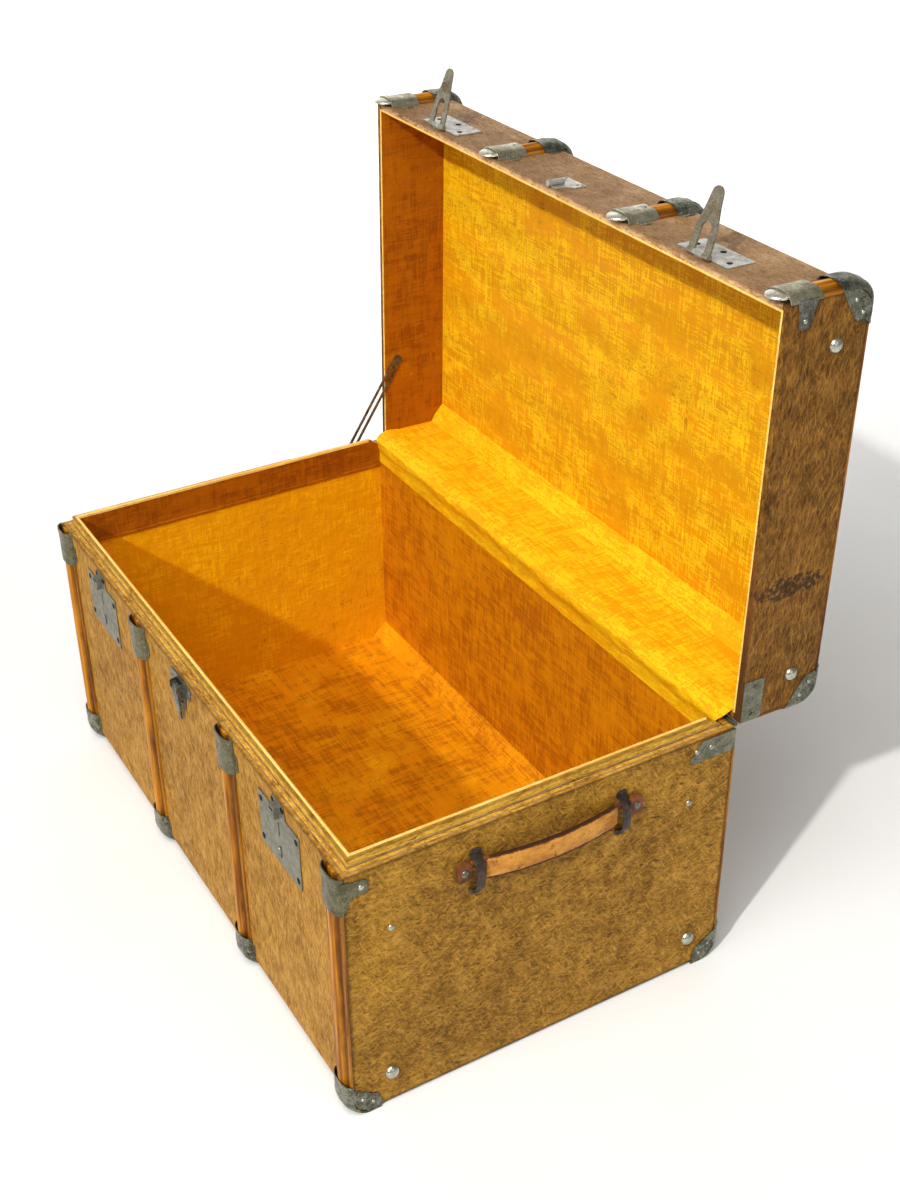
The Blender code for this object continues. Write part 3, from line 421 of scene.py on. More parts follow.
def leather_look(name, light, middle, dark, half_height=None, centre_z=0.0):
    """Old leather: creases and pores, a rubbed middle and dark edges, partly greasy wear and partly painted shade.
    """
    look = Look(name, specular=0.22)
    creases = look.noise(170.0, (1, 0.5, 1), detail=5.0, rough=0.7, distort=0.8)
    pores = look.cells(900.0)
    patch = look.noise(38.0, (1, 0.6, 1), detail=5.0, rough=0.65)
    value = look.level(look.total((patch, 0.7), (creases, 0.3)), 0.36, 0.62)
    colour = look.ramp(value, (0.0, middle), (1.0, light))
    spots = look.level(look.noise(85.0, detail=5.0, rough=0.7, shift=(8, 3, 2)), 0.58, 0.68, 0.0, 0.85)
    colour = look.mix(spots, colour, dark)
    # Darker top and bottom edges: partly greasy wear, partly painted shade where the strap's rounded edges turn
    # away
    if half_height:
        off = look.math("ABSOLUTE", look.math("SUBTRACT", look.along("Z"), centre_z), 0.0)
        ragged = look.math("ADD", off, look.math("MULTIPLY", look.noise(110.0), 0.005))
        colour = look.mix(look.level(ragged, half_height * 0.86, half_height * 1.02), colour, dark)
    look.bump(look.total((creases, 1.0), (pores, 0.35)), 0.0007)
    return look.done(colour, look.level(patch, 0.3, 0.7, 0.62, 0.40))


# ---------------------------------------------------------------- meshes

def piece(name, bm, material, body, place=HERE, smooth_angle=40.0):
    """Make an object from a bmesh and let it ride on a body."""
    bm.transform(place)
    bmesh.ops.recalc_face_normals(bm, faces=bm.faces)
    mesh = bpy.data.meshes.new(name)
    bm.to_mesh(mesh)
    bm.free()
    mesh.shade_smooth()
    mesh.set_sharp_from_angle(angle=math.radians(smooth_angle))
    obj = bpy.data.objects.new(name, mesh)
    bpy.context.scene.collection.objects.link(obj)
    for each in material if isinstance(material, list) else [material]:
        mesh.materials.append(each)
    if body:
        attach(obj, body)
    return obj


def soften(bm, width, angle=30.0, segments=2):
    """Round the sharp edges of a mesh."""
    bmesh.ops.remove_doubles(bm, verts=bm.verts, dist=1e-5)
    bmesh.ops.dissolve_limit(bm, angle_limit=math.radians(1.0), verts=bm.verts, edges=bm.edges)
    bmesh.ops.recalc_face_normals(bm, faces=bm.faces)
    sharp = [e for e in bm.edges if len(e.link_faces) == 2 and e.calc_face_angle(0.0) > math.radians(angle)]
    bmesh.ops.bevel(bm, geom=sharp, offset=width, segments=segments, profile=0.6, affect="EDGES",
                    clamp_overlap=True)


def even_shading(obj):
    """Keep broad faces flat beside their rounded edges."""
    obj.data.shade_smooth()
    modifier = obj.modifiers.new("even_normals", "WEIGHTED_NORMAL")
    modifier.weight = 100
    return obj


def softened(node, material, width=0.0010, name=None, angle=30.0, choose=None):
    """Stand-in for a CAD node with the same shape and rounded edges."""
    bm = bmesh.new()
    bm.from_mesh(nodes[node].data)
    soften(bm, width, angle)
    if choose:
        for face in bm.faces:
            face.material_index = choose(face)
    record = frame["record"]
    body = next(b for b, members in record["behaviour"]["bodies"].items() if node in members)
    obj = piece(name or node + "_look", bm, material, body)
    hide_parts(node)
    return even_shading(obj)


def skin(outer, inner, uvs=None):
    """Closed bmesh between two grids of points with equal rows and columns."""
    bm = bmesh.new()
    layer = bm.loops.layers.uv.new("UVMap")
    rows = len(outer)
    columns = len(outer[0])
    grids = []
    where = {}
    for grid in (outer, inner):
        made = []
        for i, row in enumerate(grid):
            made.append([bm.verts.new(p) for p in row])
            for j, vert in enumerate(made[-1]):
                where[vert] = uvs[i][j] if uvs else (j * 0.01, i * 0.01)
        grids.append(made)
    top, bottom = grids
    for i in range(rows - 1):
        for j in range(columns - 1):
            bm.faces.new((top[i][j], top[i][j + 1], top[i + 1][j + 1], top[i + 1][j]))
            bm.faces.new((bottom[i][j], bottom[i + 1][j], bottom[i + 1][j + 1], bottom[i][j + 1]))
    border = [(0, j) for j in range(columns)]
    border += [(i, columns - 1) for i in range(1, rows)]
    border += [(rows - 1, j) for j in range(columns - 2, -1, -1)]
    border += [(i, 0) for i in range(rows - 2, 0, -1)]
    for (i, j), (k, m) in zip(border, border[1:] + border[:1]):
        bm.faces.new((top[k][m], top[i][j], bottom[i][j], bottom[k][m]))
    for face in bm.faces:
        for loop in face.loops:
            loop[layer].uv = where[loop.vert]
    return bm


def rounded(corners, radius, steps=4):
    """Outline with each corner cut to a smooth curve; a corner may carry its own radius."""
    points = []
    count = len(corners)
    for i in range(count):
        here = Vector(corners[i][:2])
        before = Vector(corners[i - 1][:2])
        after = Vector(corners[(i + 1) % count][:2])
        own = corners[i][2] if len(corners[i]) > 2 else radius
        back = min(own, (before - here).length * 0.49)
        ahead = min(own, (after - here).length * 0.49)
        start = here + (before - here).normalized() * back
        end = here + (after - here).normalized() * ahead
        for k in range(steps + 1):
            t = k / steps
            points.append(tuple(start * (1 - t) ** 2 + here * (2 * t * (1 - t)) + end * t * t))
    return points


def add_plate(bm, outline, low, high, place):
    """Add an extruded outline to a bmesh; the place turns its flat side to the wall's plane."""
    first = [bm.verts.new(place @ Vector((a, b, low))) for a, b in outline]
    last = [bm.verts.new(place @ Vector((a, b, high))) for a, b in outline]
    bm.faces.new(first)
    bm.faces.new(list(reversed(last)))
    for i in range(len(outline)):
        j = (i + 1) % len(outline)
        bm.faces.new((first[j], first[i], last[i], last[j]))


def add_dome(bm, place, radius, height, rings=4, sides=14):
    """Add a round nail or rivet head that stands on the place's XY plane."""
    base = [bm.verts.new(place @ Vector((radius * math.cos(t), radius * math.sin(t), -SKIN)))
            for t in (2 * math.pi * k / sides for k in range(sides))]
    bm.faces.new(list(reversed(base)))
    previous = base
    for i in range(1, rings):
        lift = math.radians(90 * i / rings)
        wide = radius * math.cos(lift)
        z = height * math.sin(lift)
        ring = [bm.verts.new(place @ Vector((wide * math.cos(t), wide * math.sin(t), z)))
                for t in (2 * math.pi * k / sides for k in range(sides))]
        for k in range(sides):
            m = (k + 1) % sides
            bm.faces.new((previous[k], previous[m], ring[m], ring[k]))
        previous = ring
    top = bm.verts.new(place @ Vector((0, 0, height)))
    for k in range(sides):
        bm.faces.new((previous[k], previous[(k + 1) % sides], top))


def frame_at(origin, across, up):
    """Place whose X runs across, Y up and Z out of a surface."""
    x = Vector(across).normalized()
    y = Vector(up).normalized()
    z = x.cross(y)
    return Matrix.Translation(origin) @ Matrix((x, y, z)).transposed().to_4x4()


FRONT = frame_at((0, -FACE, 0), (1, 0, 0), (0, 0, 1))
BACK = frame_at((0, FACE, 0), (-1, 0, 0), (0, 0, 1))
RIGHT = frame_at((END, 0, 0), (0, 1, 0), (0, 0, 1))
LEFT = frame_at((-END, 0, 0), (0, -1, 0), (0, 0, 1))
TOP = frame_at((0, 0, LID_TOP), (1, 0, 0), (0, 1, 0))


def end_wall(side):
    """Place on the end board of a side."""
    return RIGHT if side > 0 else LEFT


def spot(wall, a, b, lift=0.0):
    """Place on a wall at its own coordinates."""
    return wall @ Matrix.Translation((a, b, lift))


def heads(name, spots, size, material, body, place=HERE):
    """One piece that holds a group of nail or rivet heads of a (radius, height)."""
    bm = bmesh.new()
    for where in spots:
        add_dome(bm, where, *size)
    return piece(name, bm, material, body, place, smooth_angle=60)


def wavy(point, scale, amount):
    """Small steady irregularity for a point on something old or soft."""
    return amount * noise.noise(Vector(point) * scale)


def tube(rings):
    """Closed bmesh through rings of points, with a face at each end."""
    bm = bmesh.new()
    made = [[bm.verts.new(p) for p in ring] for ring in rings]
    count = len(rings[0])
    for a, b in zip(made, made[1:]):
        for k in range(count):
            m = (k + 1) % count
            bm.faces.new((a[k], a[m], b[m], b[k]))
    bm.faces.new(made[0])
    bm.faces.new(list(reversed(made[-1])))
    return bm


def facing(along, way):
    """Unit normal of a direction in a plane, on the side that a second direction points to."""
    normal = Vector((-along.y, along.x))
    return normal if normal.dot(Vector(way)) >= 0 else -normal


def three_sides(half, front, back):
    """Corners of a level path along the left end, the front and the right end."""
    return [(-half, back), (-half, front), (half, front), (half, back)]


def sweep(path, profile, wobble=0.0):
    """Closed bmesh of a profile (out, up) carried along a level path with mitred corners."""
    rings = []
    for i, point in enumerate(path):
        here = Vector(point)
        ahead = (Vector(path[min(i + 1, len(path) - 1)]) - here)
        behind = (here - Vector(path[max(i - 1, 0)]))
        ahead = ahead.normalized() if ahead.length else behind.normalized()
        behind = behind.normalized() if behind.length else ahead
        side_a = Vector((ahead.y, -ahead.x, 0))
        side_b = Vector((behind.y, -behind.x, 0))
        side = (side_a + side_b).normalized()
        side *= 1.0 / max(0.5, side.dot(side_a))
        ring = []
        for k, (out, up) in enumerate(profile):
            shake = wavy((here.x * 40, here.y * 40, k * 2.3), 1.0, wobble)
            ring.append(here + side * (out + shake) + Vector((0, 0, up + shake)))
        rings.append(ring)
    return tube(rings)


def level_path(corners, z, step=0.012):
    """Points about a step apart along straight runs between corners."""
    points = [(*corners[0], z)]
    for start, end in zip(corners, corners[1:]):
        count = max(1, round((Vector(end) - Vector(start)).length / step))
        for i in range(1, count + 1):
            t = i / count
            points.append((start[0] + (end[0] - start[0]) * t, start[1] + (end[1] - start[1]) * t, z))
    return points


# ---------------------------------------------------------------- battens and clamps

def rib_columns(half, bead, steps=10):
    """Places across a batten, closest together on its bead."""
    return [-half] + [-bead * math.cos(math.pi * i / steps) for i in range(steps + 1)] + [half]


def rib_height(across, flange, crown, bead):
    """Height of a batten at a place across it: a flat flange on each side of a round bead."""
    if abs(across) >= bead - 1e-9:
        return flange
    return flange + (crown - flange) * math.sqrt(1.0 - (across / bead) ** 2)


def run_down(front, top, bottom, step=0.010, cut=None):
    """Stations of (base, normal, distance) down a flat wall, with a close pair where the bead is cut."""
    count = max(2, round(abs(top - bottom) / step))
    side = -1 if front else 1
    heights = [top + (bottom - top) * i / count for i in range(count + 1)]
    if cut is not None:
        heights = sorted(heights + [cut + 0.0002, cut - 0.0002], reverse=True)
    return [((side * FACE, z), (side, 0.0), abs(top - z)) for z in heights]


def run_over_lid(front_low, back_low):
    """Stations from the lid's front rim over its top to its back."""
    edge = FACE - EDGE_RADIUS
    turn = LID_TOP - EDGE_RADIUS
    points = [((-FACE, front_low + (turn - front_low) * i / 6), (-1.0, 0.0)) for i in range(6)]
    for centre, start, stop in ((-edge, 180, 90), (edge, 90, 0)):
        for i in range(9):
            angle = math.radians(start + (stop - start) * i / 8)
            normal = (math.cos(angle), math.sin(angle))
            points.append(((centre + EDGE_RADIUS * normal[0], turn + EDGE_RADIUS * normal[1]), normal))
        if centre < 0:
            points += [((-edge + 2 * edge * i / 40, LID_TOP), (0.0, 1.0)) for i in range(1, 40)]
    points += [((FACE, turn + (back_low - turn) * i / 6), (1.0, 0.0)) for i in range(1, 7)]
    stations = []
    distance = 0.0
    for i, (base, normal) in enumerate(points):
        if i:
            distance += (Vector(base) - Vector(points[i - 1][0])).length
        stations.append((base, normal, distance))
    return stations


def batten(name, node, centre_x, stations, body, place=HERE, low_from=None):
    """Moulded batten: thin flanges and a grooved round bead, which may be cut low from a height up."""
    columns = rib_columns(BATTEN_HALF, BEAD_HALF)
    outer = []
    inner = []
    uvs = []
    for base, normal, distance in stations:
        cut = low_from is not None and base[1] > low_from
        row = []
        for s in columns:
            h = rib_height(s, FLANGE, FLANGE + 0.0001 if cut else CROWN, BEAD_HALF)
            h -= 0.0009 if abs(abs(s) - BEAD_HALF) < 1e-6 else 0.0
            h -= 0.0008 if abs(s) > BEAD_HALF + 0.001 else 0.0
            h += wavy((s * 90, distance * 9, centre_x * 7), 1.0, 0.00035)
            row.append(Vector((centre_x + s, base[0] + normal[0] * h, base[1] + normal[1] * h)))
        outer.append(row)
        inner.append([Vector((centre_x + s, base[0] + normal[0] * SKIN, base[1] + normal[1] * SKIN))
                      for s in columns])
        uvs.append([(s, distance + centre_x * 3.0) for s in columns])
    obj = piece(name, skin(outer, inner, uvs), WOOD, body, place, smooth_angle=50)
    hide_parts(node)
    return obj


CLAMP_HALF = BATTEN_HALF + SKIN + SHEET
CLAMP_HEIGHT = CROWN + SHEET
DOME_COLUMNS = [-math.cos(math.pi * i / 18) for i in range(19)]


def dome_row(half, height):
    """Offsets (across, out) over a clamp's broad dome, with its feet on the wall."""
    return [(half * c, SKIN + height * (1.0 - abs(c) ** 3) ** 0.55) for c in DOME_COLUMNS]


def clamp(name, node, centre_x, stations, body, material, place=HERE, dents=0.0, mouth=False):
    """Sheet steel pressed over a batten, with dents and an optional rolled edge at its first row."""
    outer = []
    inner = []
    for i, (base, normal, distance) in enumerate(stations):
        flare = 0.0007 if mouth and i < 2 else 0.0
        for grid, half, height in ((outer, CLAMP_HALF, CLAMP_HEIGHT), (inner, CLAMP_HALF - SHEET, CROWN)):
            row = []
            for s, h in dome_row(half, height):
                if grid is outer and h > SKIN + 0.0005:
                    h += flare + wavy((s * 150, distance * 110, centre_x * 9), 1.0, dents)
                row.append(Vector((centre_x + s, base[0] + normal[0] * h, base[1] + normal[1] * h)))
            grid.append(row)
    obj = piece(name, skin(outer, inner), material, body, place, smooth_angle=50)
    if node:
        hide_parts(node)
    return obj


def ear_outline(side, low, high, reach):
    """Outline of a nailed ear beside a clamp, from the clamp's edge outwards."""
    start = side * (BATTEN_HALF - 0.001)
    end = side * (BATTEN_HALF + reach)
    middle = (low + high) / 2
    half = (high - low) / 2
    points = [(start, low, 0.001), (start + side * 0.006, low + half * 0.1, 0.003),
              (end, middle - half * 0.70, 0.006), (end, middle + half * 0.70, 0.006),
              (start + side * 0.006, high - half * 0.1, 0.003), (start, high, 0.001)]
    return rounded(points if side > 0 else list(reversed(points)), 0.003)


def clamp_ears(name, wall, centre_x, low, high, body, material, place=HERE, reach=0.011, nails=2):
    """Ears on both sides of a clamp with their nails; an end clamp has one on the inner side only."""
    bm = bmesh.new()
    nail_spots = []
    for side in (-1, 1):
        if abs(centre_x + side * (BATTEN_HALF + reach)) > END:
            continue
        local = spot(wall, centre_x if wall is not BACK else -centre_x, 0.0)
        direction = side if wall is not BACK else -side
        add_plate(bm, ear_outline(direction, low, high, reach), SKIN, SKIN + SHEET, local)
        for k in range(nails):
            b = low + (high - low) * (0.30 + 0.40 * k if nails > 1 else 0.5)
            nail_spots.append(spot(local, direction * (BATTEN_HALF + reach * 0.58), b, SKIN + SHEET))
    soften(bm, 0.0003, 50, 1)
    piece(name + "_ears", bm, material, body, place)
    heads(name + "_nails", nail_spots, EAR_NAIL, NAIL, body, place)


def end_ear(name, side, points, rivets, body, material, place=HERE, radius=0.0035):
    """Ear of an end clamp that wraps round on to the end board; points are (y, z, corner radius)."""
    wall = end_wall(side)
    turned = [(side * p[0], *p[1:]) for p in points]
    bm = bmesh.new()
    add_plate(bm, rounded(turned, 0.003), SKIN, SKIN + SHEET + PROUD, wall)
    soften(bm, 0.0003, 50, 1)
    piece(name + "_wrap", bm, material, body, place)
    spots = [spot(wall, side * y, z, SKIN + SHEET + PROUD) for y, z in rivets]
    heads(name + "_wrap_rivets", spots, (radius, radius * 0.45), RIVET, body, place)


# ---------------------------------------------------------------- the materials in use

SHELL_BOX = (Vector((-END, -FACE, FLOOR)), Vector((END, FACE, RIM)))
REST_LID_LOW, REST_LID_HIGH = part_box("lid_right_board")
LID_SHELL_BOX = (Vector((-END, REST_LID_LOW.y, REST_LID_LOW.z)),
                 Vector((END, REST_LID_HIGH.y, REST_LID_HIGH.z)))
LABEL = ((END, HINGE.y + 0.060, HINGE.z + 0.178), (0.02, 0.060, 0.016))

# Fibre: light, middle and dark colours, the box and axes of its worn edges, fibre directions and grain
END_FIBRE = fibre_look("end_fibre", (0.60, 0.310, 0.034), (0.31, 0.148, 0.011), (0.115, 0.046, 0.003),
                       SHELL_BOX, "YZ", ((20, 0, 0), (-24, 0, 0), (62, 0, 0)), (1, 0.26, 1))
FACE_FIBRE = fibre_look("face_fibre", (0.58, 0.305, 0.042), (0.37, 0.174, 0.015), (0.165, 0.064, 0.004),
                        SHELL_BOX, "XZ", ((0, 8, 0), (0, -14, 0), (0, 40, 0)), (1, 1, 0.20), 330.0,
                        relief=0.0020)
LID_END_FIBRE = fibre_look("lid_end_fibre", (0.42, 0.195, 0.022), (0.200, 0.083, 0.007),
                           (0.065, 0.022, 0.002), LID_SHELL_BOX, "YZ", ((8, 0, 0), (-10, 0, 0), (28, 0, 0)),
                           (1, 1, 0.20), 280.0, LABEL, 0.0042,
                           ("Y", LID_SHELL_BOX[0].y, 0.0045, (0.23, 0.075, 0.014)))
LID_FACE_FIBRE = fibre_look("lid_face_fibre", (0.80, 0.50, 0.26), (0.55, 0.32, 0.145), (0.25, 0.115, 0.035),
                            LID_SHELL_BOX, "XZ", ((0, 0, 12), (0, 0, -10), (0, 35, 20)), (0.22, 1, 1),
                            relief=0.0022, trim=("Y", LID_SHELL_BOX[0].y, 0.0075, (0.40, 0.180, 0.030)))
LIP_FIBRE = fibre_look("lip_fibre", (1.0, 0.66, 0.11), (0.72, 0.40, 0.045), (0.36, 0.150, 0.012),
                       (LIP_LOW, LIP_HIGH), "Z", ((0, 0, 25), (0, 0, -25), (0, 0, 90)), (0.25, 0.25, 1),
                       330.0)
RIM_FIBRE = fibre_look("rim_fibre", (0.94, 0.57, 0.11), (0.66, 0.34, 0.040), (0.31, 0.130, 0.012),
                       SHELL_BOX, "XY", ((0, 0, 20), (0, 0, -20)), (0.25, 0.25, 1), 330.0)
RIM_BROWN = fibre_look("lid_rim_fibre", (0.44, 0.21, 0.035), (0.27, 0.105, 0.014), (0.11, 0.034, 0.004),
                       LID_SHELL_BOX, "XZ", ((0, 0, 20), (0, 0, -20)), (0.25, 1, 0.25), 330.0)
BEAD = fibre_look("rim_bead", (1.0, 0.74, 0.32), (0.80, 0.50, 0.16), (0.34, 0.15, 0.035),
                  SHELL_BOX, "Z", ((0, 0, 20), (0, 0, -20)), (0.2, 0.2, 1), 380.0)

# Cloth: bright, base and dark colours, how rubbed and how stained it is, and its thread directions
# Lit copy of the lining cloth, brighter and cleaner: painted light on the up-facing shelf, the lid's corner strip
# and the hinge fold
CLOTH_LIT_COPY = cloth_look("cloth_lit_copy", (1.0, 0.66, 0.010), (0.90, 0.42, 0.003), (0.42, 0.130, 0.002),
                          0.55, 0.10, "XY")
CLOTH_STREAKED = cloth_look("cloth_streaked", (1.0, 0.66, 0.010), (0.80, 0.355, 0.003), (0.42, 0.140, 0.002),
                            0.46, 0.26, "XZ")
CLOTH_WALL = cloth_look("cloth_end_wall", (0.96, 0.56, 0.005), (0.84, 0.405, 0.003), (0.40, 0.130, 0.002),
                        0.30, 0.26, "YZ")
# Darker, browner copy of the lining for the body's back wall: partly stains, partly painted shade
CLOTH_BACK_SHADED = cloth_look("cloth_back_wall_shaded", (0.90, 0.44, 0.003), (0.76, 0.280, 0.002), (0.37, 0.092, 0.001),
                        0.32, 0.80, "XZ")
CLOTH_FLOOR = cloth_look("cloth_floor", (1.0, 0.56, 0.005), (0.88, 0.345, 0.002), (0.40, 0.100, 0.001),
                         0.46, 0.70, "XY")
# Brown copy of the lining: partly painted shade on the lid's end walls, painted shadow in the strip under the
# lip's band, and the inner sides of the lip
CLOTH_BROWN = cloth_look("cloth_brown", (0.60, 0.225, 0.003), (0.44, 0.130, 0.002), (0.22, 0.052, 0.001),
                         0.30, 0.75, "YZ")
# Cream cloth for the folds on the lip's top and the lid's rim: partly cloth, partly a painted highlight along
# these edges
PALE_CLOTH_HIGHLIGHT = cloth_look("pale_fold_highlight", (1.0, 0.76, 0.26), (0.94, 0.58, 0.12), (0.55, 0.260, 0.022),
                        0.55, 0.22, "XY")
WOOD = wood_look("batten_wood")

# Steel: bright and tarnished colours, rust, roughness, depth of its pits and how metallic it is
CLAMP = steel_look("clamp_steel", (0.211, 0.195, 0.121), (0.098, 0.092, 0.051), 0.35, 0.32)
TONGUE = steel_look("tongue_steel", (0.50, 0.465, 0.33), (0.23, 0.21, 0.13), 0.3, 0.24)
# Pale steel of the tongue noses: partly rubbed bright, partly a painted highlight
TIP = steel_look("tongue_tip_highlight", (0.86, 0.83, 0.72), (0.50, 0.48, 0.38), 0.1, 0.20)
CORNER = steel_look("corner_steel", (0.28, 0.28, 0.21), (0.040, 0.044, 0.030), 0.5, 0.24, 0.0024)
PLATE = steel_look("plate_steel", (0.25, 0.245, 0.195), (0.15, 0.147, 0.112), 0.15, 0.40, 0.0004, 0.65)
HASP_PLATE = steel_look("hasp_plate_steel", (0.62, 0.61, 0.56), (0.36, 0.35, 0.31), 0.25, 0.36, 0.0004, 0.7)
HASP = steel_look("hasp_steel", (0.56, 0.51, 0.39), (0.25, 0.22, 0.150), 0.2, 0.24)
CATCH = steel_look("catch_steel", (0.24, 0.24, 0.20), (0.060, 0.060, 0.046), 0.5, 0.30)
HINGE_STEEL = steel_look("hinge_steel", (0.25, 0.245, 0.175), (0.115, 0.115, 0.075), 0.35, 0.34)
STAY = steel_look("stay_steel", (0.24, 0.21, 0.19), (0.040, 0.032, 0.028), 0.5, 0.28)
IRON = steel_look("black_iron", (0.085, 0.058, 0.042), (0.018, 0.012, 0.009), 0.7, 0.36, 0.0009, 0.6)
NAIL = steel_look("nail_steel", (0.20, 0.20, 0.17), (0.040, 0.037, 0.028), 0.5, 0.28)
RIVET = steel_look("rivet_steel", (0.62, 0.62, 0.54), (0.30, 0.30, 0.23), 0.1, 0.14, 0.0002)
# Dark steel for nail heads, also the painted shade in the staple boxes' mouths
DARK = steel_look("dark_steel_and_mouth_shade", (0.030, 0.028, 0.025), (0.012, 0.011, 0.010), 0.3, 0.55)
LEATHER = leather_look("handle_leather", (0.70, 0.32, 0.045), (0.38, 0.135, 0.014), (0.050, 0.015, 0.004),
                       STRAP_HALF, STRAP_MIDDLE)
TAB = leather_look("tab_leather", (0.21, 0.068, 0.016), (0.095, 0.026, 0.007), (0.020, 0.008, 0.004))
THREAD = leather_look("stitch_thread", (0.13, 0.055, 0.022), (0.070, 0.026, 0.010), (0.025, 0.010, 0.005))


# ---------------------------------------------------------------- boards, lip and lining

def dress_boards():
    """Softened boards of the body and the lid in their fibre coverings."""
    for name in ("left_board", "right_board"):
        softened(name, [END_FIBRE, RIM_FIBRE], 0.0014, choose=on_rim)
    for name in ("front_board", "back_board", "floor_board"):
        softened(name, [FACE_FIBRE, RIM_FIBRE], 0.0010, choose=on_rim)
    for name in ("lid_left_board", "lid_right_board"):
        softened(name, [LID_END_FIBRE, RIM_BROWN], 0.0012, choose=on_lid_rim)
    for name in ("lid_front_board", "lid_back_board", "lid_top_board"):
        softened(name, [LID_FACE_FIBRE, RIM_BROWN], 0.0010, choose=on_lid_rim)
    softened("rim_lip", [LIP_FIBRE, CLOTH_BROWN], 0.0008, choose=lip_side)


def on_lid_rim(face):
    """1 on the rim of the lid's boards, which faces forward while the lid is open."""
    return 1 if face.normal.y < -0.4 and face.calc_center_median().y < LID_SHELL_BOX[0].y + 0.004 else 0


def on_rim(face):
    """1 on the upward rim of the body's boards."""
    return 1 if face.normal.z > 0.4 and face.calc_center_median().z > RIM - 0.002 else 0


def lip_side(face):
    """1 on the inner sides of the lip, which the lining cloth turns up over."""
    centre = face.calc_center_median()
    inward = Vector((-centre.x, -centre.y, 0))
    if abs(face.normal.x) > 0.7:
        return 1 if face.normal.x * inward.x > 0 and abs(centre.x) < END - LIP_INSET - LIP_THICK / 2 else 0
    if abs(face.normal.y) > 0.7:
        return 1 if face.normal.y > 0 and centre.y < LIP_INSET + LIP_THICK - FACE + 0.002 else 0
    return 0


def dress_rim():
    """Bead at the lip's foot, pale cloth folded over its top, its paleness partly a painted highlight, and a dark
    strip at the lower edge of its inner band, a painted shadow line.
    """
    back = FACE - BOARD - 0.004
    inset = 0.0052
    corners = three_sides(END - inset, inset - FACE, back)
    profile = [(0.0016, -0.0003), (0.0013, 0.0002), (0.0, 0.0004), (-0.0013, 0.0002), (-0.0016, -0.0003)]
    piece("rim_bead", sweep(level_path(corners, RIM), profile, 0.00004), BEAD, "body")
    inset = LIP_INSET - 0.0006
    corners = three_sides(END - inset, inset - FACE, back)
    profile = [(0.0006, -0.0002), (0.0007, 0.0012), (0.0003, 0.0026), (-0.0005, 0.0032), (-0.0007, 0.0012),
               (-0.0007, -0.0002)]
    piece("lip_foot_strip", sweep(level_path(corners, RIM), profile, 0.00005), BEAD, "body")
    # Pale cloth over the lip's top: its pale colour is partly a painted highlight along the edge
    inset = LIP_INSET + LIP_THICK / 2
    half = LIP_THICK / 2
    slope = LIP_HIGH.y - 0.020
    corners = three_sides(END - inset, inset - FACE, slope)
    profile = [(0.0002, -0.0002), (-0.0004, 0.0010), (-0.0014, 0.0016), (-half + 0.0006, 0.0014),
               (-half - 0.0007, 0.0002), (-half - 0.0009, -0.0030), (-half - 0.0001, -0.0032),
               (-half, -0.0002)]
    piece("lip_cloth_fold", sweep(level_path(corners, LIP_HIGH.z), profile, 0.00030), PALE_CLOTH_HIGHLIGHT, "body")
    # Dark strip at the lower edge of the lip's inner band: a painted shadow line under the band
    inset = LIP_INSET + LIP_THICK
    corners = three_sides(END - inset, inset - FACE, LIP_HIGH.y)
    profile = [(0.0003, 0.0), (-0.0010, 0.0001), (-0.0012, 0.0020), (-0.0006, 0.0032), (0.0003, 0.0034)]
    piece("lip_lower_shadow_strip", sweep(level_path(corners, LIP_LOW.z + 0.0005), profile, 0.0002), CLOTH_BROWN,
          "body")


def dress_lid_rim():
    """Thin pale edge of the lining cloth along the inner edge of the lid's rim, its paleness partly a painted
    highlight.
    """
    low, high = closed_box("lid_lining")
    corners = [(low.x, high.y), (low.x, low.y), (high.x, low.y), (high.x, high.y)]
    profile = [(0.0020, -0.0003), (0.0020, 0.0002), (-0.0006, 0.0002), (-0.0008, -0.0020), (-0.0001, -0.0020),
               (-0.0001, -0.0003)]
    flipped = [(out + 0.0006, -up) for out, up in profile]
    piece("lid_rim_fold", sweep(level_path(corners, LID_RIM), flipped, 0.00004), PALE_CLOTH_HIGHLIGHT, "lid", LID)


def lining_side(face):
    """Material index by which way a face of the body's lining looks; the back wall gets a darker copy, partly
    stains and partly painted shade.
    """
    normal = face.normal
    if normal.z > 0.9:
        return 3
    if normal.z > 0.2:
        return 4
    if normal.y < -0.7:
        return 2
    if normal.x > 0.7:
        return 1
    return 0


def lid_lining_side(face):
    """Material index by which way a face of the lid's lining looks, with the lid open; the up-facing shelf gets
    the lit copy, painted light, and the end walls the brown copy, partly painted shade.
    """
    normal = face.normal
    if abs(normal.x) > 0.7:
        return 1
    if normal.z > 0.9:
        return 2
    return 0


def strip_piece(name, start, end, low_edge, high_edge, bulge, body, material, place, count=150):
    """Padded corner strip along X between two edges in the YZ plane, puckered across its length."""
    outer = []
    inner = []
    a = Vector(low_edge)
    b = Vector(high_edge)
    normal = facing(b - a, bulge).normalized()
    for i in range(count + 1):
        x = start + (end - start) * i / count
        top = []
        bottom = []
        for k in range(9):
            t = k / 8
            crown = Vector(bulge).length * math.sin(math.pi * t)
            pucker = wavy((x * 55, t * 1.6, 3.0), 1.0, 0.0019)
            pucker += wavy((x * 160 + t * 2.5, t, 8.0), 1.0, 0.0009)
            flat = a.lerp(b, t)
            lift = max(0.0, crown + pucker * math.sin(math.pi * (0.1 + 0.8 * t)))
            out = flat + normal * (0.0007 + lift)
            top.append(Vector((x, out.x, out.y)))
            low = flat + normal * 0.0002
            bottom.append(Vector((x, low.x, low.y)))
        outer.append(top)
        inner.append(bottom)
    return piece(name, skin(outer, inner), material, body, place, smooth_angle=70)


